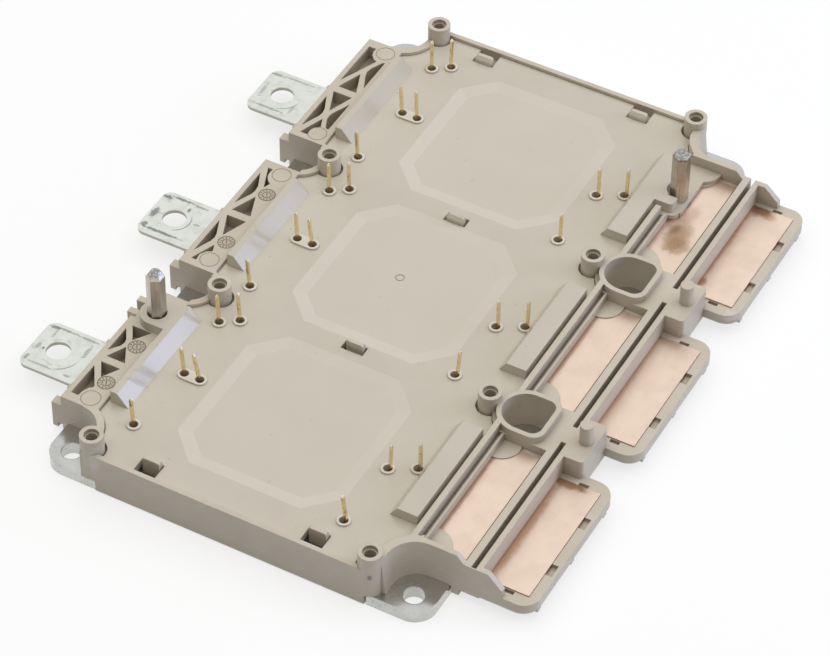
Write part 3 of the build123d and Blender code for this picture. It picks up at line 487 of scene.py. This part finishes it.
class MODULE_OT_stage(Operator):
    """Floor, soft lights, room and camera"""

    bl_idname = "module.stage"
    bl_label = "Stage"

    def execute(self, context):
        studio = context.scene.module_studio
        # Matt paper: pale grey where it lights the object, near white with a soft shadow where it is seen.
        values = {"Roughness": 0.9, "Specular IOR Level": 0.1}
        material, tree, shader, _ = new_material("paper_sweep", values)
        direct = seen_straight(tree)
        tone = add_node(
            tree,
            "ShaderNodeMix",
            {"data_type": "RGBA"},
            {MIX_UNDER: rgba(linear("#DADADE")), MIX_OVER: rgba(linear("#FFFFFF"))},
            {0: (direct, 0)},
        )
        join(tree, shader, (tone, MIX_RESULT))
        values = {"Color": rgba(linear("#FFFFFF")), "Strength": 1.0}
        glow = add_node(tree, "ShaderNodeEmission", values=values)
        share = add_node(tree, "ShaderNodeMath", {"operation": "MULTIPLY"}, {1: FLOOR_GLOW}, {0: (direct, 0)})
        blend = add_node(
            tree,
            "ShaderNodeMixShader",
            links={0: (share, 0), 1: (shader, "BSDF"), 2: (glow, 0)},
        )
        output = next(n for n in tree.nodes if n.type == "OUTPUT_MATERIAL")
        tree.links.new(blend.outputs[0], output.inputs["Surface"])
        mesh = bpy.data.meshes.new("floor")
        low, high = -FLOOR_REACH, FLOOR_REACH
        rim = [(low, low, 0.0), (high, low, 0.0), (high, high, 0.0), (low, high, 0.0)]
        mesh.from_pydata(rim, [], [(0, 1, 2, 3)])
        mesh.materials.append(material)
        floor = bpy.data.objects.new("floor", mesh)
        floor.location.z = CAD_BOX[0].z - FLOOR_GAP
        context.scene.collection.objects.link(floor)

        # Each lamp: name, place, size, turn or None to face the object, power and colour.
        lamps = (
            ("top_softbox", (-0.22, -0.12, 0.95), (2.4, 2.4), (0.0, 0.0, 0.0), studio.top_light, "#FFFEFB"),
            ("window_fill", (-0.62, 1.0, 0.42), (1.5, 0.7), None, studio.window_light, "#EEF1FF"),
            ("side_softbox", (-0.46, 0.8, 0.29), (0.34, 0.3), None, studio.side_light, "#B4CAFF"),
        )
        for name, at, size, turn, power, colour in lamps:
            lamp = bpy.data.lights.new(name, "AREA")
            lamp.shape = "RECTANGLE"
            lamp.size, lamp.size_y = size
            lamp.energy = power
            lamp.color = linear(colour)
            holder = bpy.data.objects.new(name, lamp)
            holder.location = at
            holder.rotation_euler = turn or (-holder.location).to_track_quat("-Z", "Y").to_euler()
            # Metals mirror the white room, and of the lamps only the small one that shows in the wedges.
            holder.visible_glossy = name == "side_softbox"
            context.scene.collection.objects.link(holder)

        world = bpy.data.worlds.new("studio_room")
        world.use_nodes = True
        room = world.node_tree
        room.nodes.clear()
        strength = add_node(
            room,
            "ShaderNodeMapRange",
            values={"To Min": studio.sky, "To Max": 1.0},
            links={"Value": (seen_straight(room), 0)},
        )
        back = add_node(
            room,
            "ShaderNodeBackground",
            values={"Color": rgba(linear("#FDFDFF"))},
            links={"Strength": (strength, 0)},
        )
        add_node(room, "ShaderNodeOutputWorld", links={"Surface": (back, 0)})
        context.scene.world = world
        context.scene.view_settings.view_transform = "Standard"

        camera = bpy.data.cameras.new("photo_camera")
        camera.sensor_fit = "HORIZONTAL"
        camera.sensor_width = SENSOR_WIDTH
        camera.lens = studio.lens
        camera.shift_x, camera.shift_y = CAMERA_SHIFT
        camera.clip_start = 0.01
        camera.clip_end = 20.0
        holder = bpy.data.objects.new("photo_camera", camera)
        holder.location = studio.camera_place
        holder.rotation_euler = studio.camera_turn
        context.scene.collection.objects.link(holder)
        context.scene.camera = holder
        return {"FINISHED"}


class MODULE_OT_frame(Operator):
    """Moulded frame with its blocks, trays and bosses"""

    bl_idname = "module.frame"
    bl_label = "Moulded frame"

    def execute(self, context):
        plastic = context.scene.module_plastic
        # Glass filled PPS from a steel mould: even beige with a slight gloss, grey and pink handling marks.
        material, tree, shader, place = new_material("moulded_pps_frame", {"Roughness": 0.4, "IOR": 1.5})
        blotch = cloud(tree, place, 9 * MM, 0.35, 0.7)
        colour = paint(tree, plastic.frame_colour, (blotch,), linear("#C0B6A5"), 0.6)
        grain = cloud(tree, place, plastic.grain, 0.3, 0.7, 2.0)
        colour = paint(tree, colour, (grain,), linear("#B8AE9D"), 0.14)
        flow = cloud(tree, place, 5 * MM, 0.5, 0.75, 4.0, (1.0, 1.0, 0.25))
        colour = paint(tree, colour, (flow,), linear("#CFC6BC"), 0.5)
        # A thin pale scratch that slopes across the end of the near block.
        scratch = patch(tree, place, (66.3, -46.5, 2.6), (0.5, 3.6, 0.13), 0.4, 0.3, 1.0, (39.0, 0.0, 0.0))
        colour = paint(tree, colour, (scratch,), linear("#E4DDD0"), 0.9)
        # Each mark: place and reach in mm, colour, amount, edge, raggedness, grain of the edge.
        marks = (
            ((23.8, -31.8, 9.8), (2.8, 1.6, 2.4), "#8E8985", 0.5, 0.5, 1.3, 0.5),
            ((75.8, -32.2, 8.5), (3.0, 1.8, 3.0), "#D9D3CC", 0.6, 0.6, 1.0, 1.2),
            ((-44.5, 39.3, 8.7), (2.6, 0.9, 0.9), "#D6C3C8", 0.85, 0.4, 0.8, 0.8),
            ((-30.0, 62.8, 4.6), (2.4, 1.8, 0.8), "#DAD3CB", 0.7, 0.4, 0.8, 0.6),
            ((-33.4, 57.6, 4.9), (1.6, 1.4, 1.4), "#7A7268", 0.7, 0.4, 1.0, 0.5),
            ((77.8, 33.4, 8.9), (0.9, 0.5, 0.7), "#77726E", 0.8, 0.4, 0.6, 0.4),
        )
        for centre, reach, tint, amount, edge, ragged, size in marks:
            mask = patch(tree, place, centre, reach, edge, ragged, size)
            colour = paint(tree, colour, (mask,), linear(tint), amount)
        # Painted pink reflection of the copper on the walls beside the outer pads.
        for x, amount in ((-PITCH, 0.45), (0.0, 0.25), (PITCH, 0.15)):
            mask = patch(tree, place, (x, 52.4, 7.6), (17.0, 0.6, 2.2), 0.5, 0.4, 3.0)
            colour = paint(tree, colour, (mask,), linear("#CDB9AD"), amount)
        # Painted grey brown shade in the grooves and inside corners.
        colour = paint(tree, colour, (corner_shade(tree, 5.0 * MM),), linear("#877A68"), 0.55)
        groove_shade = corner_shade(tree, 0.4 * MM)
        colour = paint(tree, colour, (groove_shade,), linear("#7D6F5C"), 0.3)
        # The moulding dials are darker than the block tops round them, and painted shade darkens their
        # grooves most.
        for x, y in DIALS:
            dial = patch(tree, place, (x, y, BLOCK_TOP), (2.05, 2.05, 0.4), 0.04, 0.0)
            colour = paint(tree, colour, (dial,), linear("#9C907D"), 0.3)
            colour = paint(tree, colour, (dial, groove_shade), linear("#5F5140"), 0.9)
        join(tree, shader, colour, softened_edges(tree, plastic.edge_round, grain, 0.004 * MM))
        dress(["housing_frame"], material)
        return {"FINISHED"}


class MODULE_OT_lid(Operator):
    """Moulded lid with its panels and pin rings"""

    bl_idname = "module.lid"
    bl_label = "Moulded lid"

    def execute(self, context):
        plastic = context.scene.module_plastic
        # The same plastic from a polished mould: flatter, and glossy enough to mirror the pins softly.
        material, tree, shader, place = new_material("moulded_pps_lid", {"IOR": 1.5})
        blotch = cloud(tree, place, 14 * MM, 0.35, 0.7)
        colour = paint(tree, plastic.lid_colour, (blotch,), linear("#C3BBAB"), 0.6)
        grain = cloud(tree, place, plastic.grain, 0.3, 0.7, 2.0)
        colour = paint(tree, colour, (grain,), linear("#B8B09F"), 0.12)
        # Specks of dark fibre here and there, drawn wider than the real 0.1 mm so that they show.
        specks = cloud(tree, place, 1.6 * MM, 0.765, 0.79, 1.0)
        colour = paint(tree, colour, (specks,), linear("#8A8276"), 0.4)
        # The flats of the three octagons are painted a little paler than the lid round them, and their sloped
        # borders paler still as a painted highlight on the slopes.
        flats, borders, level = octagon_zones(tree, place)
        colour = paint(tree, colour, (flats, level), linear("#D2CABA"), 0.42)
        colour = paint(tree, colour, (borders, level), linear("#DCD5C8"), 0.4)
        # Two painted pin shadows across the near wedge, as grey streaks.
        for x in (52.7, 55.6):
            mask = patch(tree, place, (x, -35.0, 11.3), (0.5, 2.6, 2.4), 0.5, 0.2, 2.0, (0.0, 0.0, 40.0))
            colour = paint(tree, colour, (mask,), linear("#A89F92"), 0.7)
        # The slopes of the wedges come from a polished insert and are the glossiest faces.
        slope = patch(tree, place, WEDGE_MIDDLE, (WHOLE, 1.7, 2.3), 0.1, 0.0)
        gloss = add_node(
            tree,
            "ShaderNodeMapRange",
            values={"To Min": 0.24, "To Max": 0.2},
            links={"Value": (slope, 0)},
        )
        tree.links.new(gloss.outputs[0], shader.inputs["Roughness"])
        # Painted grey brown shade in the grooves and inside corners.
        colour = paint(tree, colour, (corner_shade(tree, 1.0 * MM),), linear("#8E8270"), 0.5)
        # The ring tops round the pins are polished and paler.
        rings = patch(tree, place, (0.0, 0.0, RING_LEVEL), (WHOLE, WHOLE, 0.2), 0.1, 0.0)
        field = patch(tree, place, (0.0, -2.0, 10.0), (WHOLE, 29.0, WHOLE), 0.02, 0.0)
        colour = paint(tree, colour, (rings, field), linear("#E3DCCF"), 0.7)
        join(tree, shader, colour, softened_edges(tree, plastic.edge_round, grain, 0.002 * MM))
        dress(["lid"], material)
        return {"FINISHED"}


class MODULE_OT_base(Operator):
    """Cooled baseplate"""

    bl_idname = "module.base"
    bl_label = "Baseplate"

    def execute(self, context):
        metal = context.scene.module_metal
        # Nickel plated copper: bright, smooth enough to mirror the walls above it, with dull patches.
        material, tree, shader, place = new_material("nickel_plated_copper", {"Metallic": 1.0})
        blotch = cloud(tree, place, 6 * MM, 0.35, 0.7)
        colour = paint(tree, metal.base_colour, (blotch,), linear("#B5B4AF"), 0.6)
        # Pits of the plating, drawn wider than the real 0.1 mm so that they show.
        pits = cloud(tree, place, 0.5 * MM, 0.7, 0.74, 1.0)
        colour = paint(tree, colour, (pits,), linear("#6E6A62"), 0.7)
        dull = add_node(
            tree,
            "ShaderNodeMapRange",
            values={"To Min": 0.16, "To Max": 0.3},
            links={"Value": (blotch, 0)},
        )
        tree.links.new(dull.outputs[0], shader.inputs["Roughness"])
        join(tree, shader, colour, softened_edges(tree, 0.3 * MM, blotch, 0.003 * MM))
        dress(["baseplate"], material)
        return {"FINISHED"}


class MODULE_OT_tabs(Operator):
    """Bolt tabs of the three phases"""

    bl_idname = "module.tabs"
    bl_label = "Bolt tabs"

    def execute(self, context):
        metal = context.scene.module_metal
        # Tin plated copper strip: pale satin grey with a green cast, scuffed along edges and round the hole.
        values = {"Metallic": 1.0, "Roughness": 0.34}
        material, tree, shader, place = new_material("tin_plated_copper", values)
        blotch = cloud(tree, place, 3 * MM, 0.4, 0.7)
        colour = paint(tree, metal.tab_colour, (blotch,), linear("#CED1C8"), 0.6)
        smear = cloud(tree, place, 1.4 * MM, 0.55, 0.72, 4.0, (1.0, 2.0, 1.0))
        colour = paint(tree, colour, (smear,), linear("#B1B4AB"), 0.5)
        # Each scuff: place on the top face and reach along x and y in mm, colour and amount.
        scuffs = (
            (45.5, -62.4, 0.45, 1.2, "#5E6660", 0.675),
            (45.2, -59.6, 0.3, 2.6, "#727A73", 0.6375),
            (45.3, -54.0, 0.35, 2.2, "#7F867E", 0.6),
            (48.8, -52.3, 2.2, 0.45, "#858B83", 0.525),
            (51.7, -62.6, 0.9, 0.5, "#868E87", 0.525),
            (52.0, -61.3, 0.35, 0.3, "#474E49", 0.675),
            (55.9, -63.1, 0.9, 0.35, "#6F7770", 0.6),
            (56.7, -59.0, 0.3, 3.0, "#858C84", 0.525),
            (56.8, -52.4, 0.35, 0.7, "#7A8179", 0.6),
            (46.6, -61.4, 1.8, 0.25, "#8B918A", 0.45),
            (-1.7, -62.9, 0.5, 1.2, "#4F5752", 0.7125),
            (-2.4, -59.2, 0.35, 3.0, "#5B635D", 0.675),
            (-2.2, -54.4, 0.3, 1.8, "#7D847C", 0.6),
            (4.0, -62.9, 1.6, 0.75, "#5A625C", 0.675),
            (-0.2, -56.4, 0.6, 0.35, "#4B524D", 0.675),
            (8.3, -63.0, 0.9, 0.7, "#59605A", 0.675),
            (9.0, -58.4, 0.4, 4.6, "#565E58", 0.7125),
            (3.2, -52.6, 0.3, 0.8, "#868C84", 0.525),
            (-49.6, -62.4, 0.4, 1.6, "#727A74", 0.6),
            (-49.9, -57.0, 0.3, 3.6, "#868D86", 0.525),
            (-43.6, -62.8, 2.2, 0.4, "#8A9089", 0.45),
            (-38.6, -58.6, 0.35, 3.8, "#7F867F", 0.5625),
            (-40.4, -53.6, 1.2, 0.4, "#8C928B", 0.45),
        )
        for x, y, along_x, along_y, tint, amount in scuffs:
            mask = patch(tree, place, (x, y, TAB_TOP), (along_x, along_y, 0.6), 0.35, 0.9, 0.7)
            colour = paint(tree, colour, (mask,), linear(tint), amount)
        # Arcs that a washer left beside the bolt hole.
        arcs = (("w", 54.5, -54.2, 5.6), ("v", 5.0, -54.8, 3.9), ("u", -41.0, -55.0, 4.8))
        for phase, x, y, radius in arcs:
            hole = mount_place(f"ac_tab_bolt_{phase}")
            near = (x, y, TAB_TOP)
            masks = arc_scratch(tree, place, hole, radius, 0.22, near, (3.0, 2.2, 2.0))
            colour = paint(tree, colour, masks, linear("#6A716B"), 0.8)
        # The cut edge below the plating's rim shows the dull strip.
        cut = patch(tree, place, (0.0, -56.0, 5.05), (WHOLE, WHOLE, 0.42), 0.15, 0.1, 1.0)
        colour = paint(tree, colour, (cut,), linear("#8D867E"), 0.75)
        join(tree, shader, colour, softened_edges(tree, 0.12 * MM, blotch, 0.004 * MM))
        dress([f"ac_terminal_{p}" for p in PHASES], material)
        return {"FINISHED"}


class MODULE_OT_pads(Operator):
    """Inner and outer copper pads"""

    bl_idname = "module.pads"
    bl_label = "Copper pads"

    def execute(self, context):
        metal = context.scene.module_metal
        # Bare rolled copper: pale pink and satin, brown where flux and heat stained it, with painted shade on
        # its cut sides and where the walls stand on it, and painted reflections of the walls along its edges.
        values = {"Metallic": 1.0, "Roughness": 0.36}
        material, tree, shader, place = new_material("bare_rolled_copper", values)
        blotch = cloud(tree, place, 5 * MM, 0.35, 0.7)
        colour = paint(tree, metal.pad_colour, (blotch,), linear("#DAC2B0"), 0.35)
        # Rolling lines, drawn wider than the real 0.02 mm so that they show.
        rolled = cloud(tree, place, 0.5 * MM, 0.4, 0.75, 3.0, (14.0, 1.0, 1.0))
        colour = paint(tree, colour, (rolled,), linear("#D8C0AB"), 0.12)
        # Each stain or painted reflection of a wall: place and reach in mm, colour, amount, edge and
        # raggedness.
        stains_and_wall_reflections = (
            ((32.4, 55.0, OUTER_PAD_TOP), (1.1, 3.8, 1.0), "#B78D6D", 0.8, 0.5, 0.7),
            ((32.0, 58.2, OUTER_PAD_TOP), (1.0, 1.0, 1.0), "#AB7F5E", 0.8, 0.5, 0.8),
            # A painted reflection of the wall along the edge of this outer pad.
            ((48.5, 53.2, OUTER_PAD_TOP), (14.5, 1.3, 1.0), "#C9A182", 0.75, 0.5, 0.5),
            ((-62.4, 54.8, OUTER_PAD_TOP), (1.6, 2.4, 1.0), "#B08162", 0.85, 0.5, 0.6),
            ((-61.6, 57.2, OUTER_PAD_TOP), (1.1, 1.8, 1.0), "#BD9375", 0.6, 0.6, 0.6),
            # A painted reflection of the wall along the edge of this outer pad.
            ((-49.0, 52.9, OUTER_PAD_TOP), (14.0, 0.7, 1.0), "#C9A38A", 0.7, 0.5, 0.8),
            ((-35.6, 53.2, OUTER_PAD_TOP), (1.6, 0.8, 1.0), "#B48560", 0.8, 0.5, 0.8),
            # A painted reflection of the wall along the edge of this outer pad.
            ((0.0, 53.0, OUTER_PAD_TOP), (15.0, 0.7, 1.0), "#CBAB93", 0.6, 0.5, 0.6),
            ((-42.6, 43.6, INNER_PAD_TOP), (4.6, 2.7, 1.2), "#BD9B7B", 0.75, 0.35, 0.45),
            ((-40.4, 44.9, INNER_PAD_TOP), (2.6, 2.4, 1.2), "#B59272", 0.6, 0.35, 0.4),
            ((-45.1, 42.0, INNER_PAD_TOP), (1.3, 0.9, 1.0), "#A57E60", 0.6, 0.7, 0.4),
            ((-50.6, 43.2, INNER_PAD_TOP), (3.4, 1.6, 1.0), "#C8AA8D", 0.5, 0.6, 0.5),
            # Painted reflections of the wall along the edge of two inner pads.
            ((0.0, 39.4, INNER_PAD_TOP), (15.0, 0.5, 1.0), "#C4A187", 0.6, 0.5, 0.7),
            ((PITCH, 39.4, INNER_PAD_TOP), (15.0, 0.45, 1.0), "#C4A187", 0.6, 0.5, 0.7),
        )
        for centre, reach, tint, amount, edge, ragged in stains_and_wall_reflections:
            mask = patch(tree, place, centre, reach, edge, ragged, 1.6)
            colour = paint(tree, colour, (mask,), linear(tint), amount)
        # Small dark flecks of flux in the far stain.
        flecks = cloud(tree, place, 0.5 * MM, 0.64, 0.7, 1.0)
        zone = patch(tree, place, (-40.0, 44.6, INNER_PAD_TOP), (1.6, 1.4, 1.0), 0.3, 0.3, 1.0)
        colour = paint(tree, colour, (flecks, zone), linear("#83684E"), 0.8)
        # A thin red brown line of painted shade where the walls stand on the pads.
        wall_shade = corner_shade(tree, 1.6 * MM, False)
        colour = paint(tree, colour, (wall_shade,), linear("#9A5A3D"), 0.85)
        # Painted shade on the cut sides, below the top edge of every pad.
        for level in (INNER_PAD_TOP - 0.55, OUTER_PAD_TOP - 0.55):
            cut = patch(tree, place, (0.0, 50.0, level), (WHOLE, WHOLE, 0.45), 0.15, 0.15, 1.0)
            colour = paint(tree, colour, (cut,), linear("#9C684B"), 0.8)
        join(tree, shader, colour, softened_edges(tree, 0.16 * MM, blotch, 0.004 * MM))
        names = [f"dc_{row}_terminal_{p}" for row in ("inner", "outer") for p in PHASES]
        dress(names, material)
        return {"FINISHED"}


class MODULE_OT_pins(Operator):
    """Signal pins on both sides"""

    bl_idname = "module.pins"
    bl_label = "Signal pins"

    def execute(self, context):
        metal = context.scene.module_metal
        # Thin gold over nickel on drawn square wire: pale and glossy, with dark specks and a bright tip.
        values = {"Metallic": 1.0, "Roughness": 0.26}
        material, tree, shader, place = new_material("gold_flashed_pin_wire", values)
        blotch = cloud(tree, place, 1 * MM, 0.45, 0.7)
        colour = paint(tree, metal.pin_colour, (blotch,), linear("#D2B67C"), 0.6)
        # Specks where the gold is thin, drawn wider than the real 0.2 mm so that they show.
        specks = cloud(tree, place, 0.7 * MM, 0.63, 0.7, 2.0, (1.0, 1.0, 1.6))
        colour = paint(tree, colour, (specks,), linear("#4F3F2E"), 0.75)
        tips = patch(tree, place, (0.0, 0.0, PIN_TOP), (WHOLE, WHOLE, 0.7), 0.3, 0.1, 1.0)
        colour = paint(tree, colour, (tips,), linear("#E8E0CC"), 0.7)
        join(tree, shader, colour)
        names = [f"{side}_side_pins_{p}" for side in ("ac", "dc") for p in PHASES]
        dress(names, material)
        return {"FINISHED"}


class MODULE_OT_dowels(Operator):
    """Two locating dowels"""

    bl_idname = "module.dowels"
    bl_label = "Locating dowels"

    def execute(self, context):
        metal = context.scene.module_metal
        # Drawn hexagon steel: darker than the plating, fine lines along its length, rough bright cut ends.
        values = {"Metallic": 1.0, "Roughness": 0.3}
        material, tree, shader, place = new_material("drawn_hexagon_steel", values)
        # Drawing lines, drawn wider than the real 0.02 mm so that they show.
        lines = cloud(tree, place, 0.2 * MM, 0.35, 0.7, 2.0, (1.0, 1.0, 40.0))
        colour = paint(tree, metal.dowel_colour, (lines,), linear("#938B81"), 0.5)
        stain = cloud(tree, place, 2.5 * MM, 0.5, 0.7, 4.0)
        colour = paint(tree, colour, (stain,), linear("#A0948A"), 0.4)
        torn = cloud(tree, place, 0.5 * MM, 0.4, 0.6, 3.0)
        for top in DOWEL_TOPS:
            end = patch(tree, place, top, (3.0, 3.0, 0.9), 0.4, 0.6, 0.8)
            colour = paint(tree, colour, (end,), linear("#B9B8B2"), 0.8)
            colour = paint(tree, colour, (end, torn), linear("#6B6A66"), 0.7)
        join(tree, shader, colour, softened_edges(tree, 0.12 * MM, torn, 0.01 * MM))
        dress(["locating_dowel_ac", "locating_dowel_dc"], material)
        return {"FINISHED"}


class MODULE_OT_inside(Operator):
    """Substrates, chips, ribbons, sensors, seal and gel under the lid"""

    bl_idname = "module.inside"
    bl_label = "Inside"

    def execute(self, context):
        # Each row: name, metallic, roughness, main and second colour, blotch width in mm, nodes and slot.
        rows = (
            # Reflowed solder: dull grey with a frosted skin.
            ("soft_solder", 1.0, 0.45, "#B9BABD", "#9A9B9F", 1.5, ("base_solder",), "solder"),
            # Etched copper foil: warm and satin, darker where it has been hot.
            (
                "etched_copper_foil",
                1.0,
                0.35,
                "#D99A78",
                "#B8744F",
                2.0,
                ("lower_copper", "track_copper"),
                "substrate_copper",
            ),
            # Fired nitride: off white and matt.
            ("fired_nitride_plate", 0.0, 0.55, "#D9D8D2", "#C6C5BE", 3.0, ("ceramic",), "ceramic_plate"),
            # Chip with a sputtered metal top: dark blue grey and fairly glossy.
            ("metallised_chip", 0.7, 0.3, "#8C9096", "#5C6168", 0.8, ("chips",), "chip"),
            # Rolled aluminium ribbon: bright white metal.
            (
                "rolled_aluminium_ribbon",
                1.0,
                0.3,
                "#DCDDE0",
                "#BFC1C6",
                0.5,
                ("bond_ribbons",),
                "ribbon_aluminium",
            ),
            # Fired sensor body: dark brown and matt.
            (
                "fired_sensor_body",
                0.0,
                0.5,
                "#5C5650",
                "#47423D",
                0.4,
                ("temperature_sensor",),
                "sensor_ceramic",
            ),
        )
        for name, metallic, roughness, first, second, width, stems, slot in rows:
            values = {"Metallic": metallic, "Roughness": roughness}
            material, tree, shader, place = new_material(name, values)
            blotch = cloud(tree, place, width * MM, 0.35, 0.7)
            join(tree, shader, paint(tree, linear(first), (blotch,), linear(second), 0.7))
            dress([f"{stem}_{p}" for stem in stems for p in PHASES], material)
        # Cured silicone bead: pale grey and rubbery.
        material, tree, shader, place = new_material("cured_silicone_bead", {"Roughness": 0.6})
        blotch = cloud(tree, place, 2 * MM, 0.35, 0.7)
        join(tree, shader, paint(tree, linear("#C9C8C2"), (blotch,), linear("#B4B3AC"), 0.6))
        dress(["base_seal"], material)
        # Soft silicone gel: clear, with a faint warm tint.
        material, tree, shader, place = new_material(
            "clear_silicone_gel", {"Roughness": 0.08, "IOR": 1.41, "Transmission Weight": 0.9}
        )
        blotch = cloud(tree, place, 8 * MM, 0.35, 0.7)
        join(tree, shader, paint(tree, linear("#F2F1EA"), (blotch,), linear("#E6E4D8"), 0.5))
        dress(["silicone_gel"], material)
        return {"FINISHED"}


class MODULE_PT_panel(Panel):
    """Lists the settings and the steps in the sidebar"""

    bl_label = "Power module"
    bl_idname = "MODULE_PT_panel"
    bl_space_type = "VIEW_3D"
    bl_region_type = "UI"
    bl_category = "Power module"

    def draw(self, context):
        scene = context.scene
        for title, settings in (
            ("Plastic", scene.module_plastic),
            ("Metal", scene.module_metal),
            ("Studio", scene.module_studio),
        ):
            box = self.layout.box()
            box.label(text=title)
            for name in settings.__annotations__:
                box.prop(settings, name)
        for step in STEPS:
            self.layout.operator(step.bl_idname)


SETTINGS = (PlasticSettings, MetalSettings, StudioSettings)
STEPS = (
    MODULE_OT_stage,
    MODULE_OT_frame,
    MODULE_OT_lid,
    MODULE_OT_base,
    MODULE_OT_tabs,
    MODULE_OT_pads,
    MODULE_OT_pins,
    MODULE_OT_dowels,
    MODULE_OT_inside,
)


def register():
    """Makes the settings, steps and panel known to Blender."""
    for one in (*SETTINGS, *STEPS, MODULE_PT_panel):
        bpy.utils.register_class(one)
    bpy.types.Scene.module_plastic = PointerProperty(type=PlasticSettings)
    bpy.types.Scene.module_metal = PointerProperty(type=MetalSettings)
    bpy.types.Scene.module_studio = PointerProperty(type=StudioSettings)


def unregister():
    """Takes the panel, the steps and the settings away again."""
    for name in ("module_plastic", "module_metal", "module_studio"):
        delattr(bpy.types.Scene, name)
    for one in reversed((*SETTINGS, *STEPS, MODULE_PT_panel)):
        bpy.utils.unregister_class(one)


def main():
    """Runs every step in order."""
    register()
    for step in STEPS:
        group, name = step.bl_idname.split(".")
        getattr(getattr(bpy.ops, group), name)()


if __name__ == "__main__":
    main()
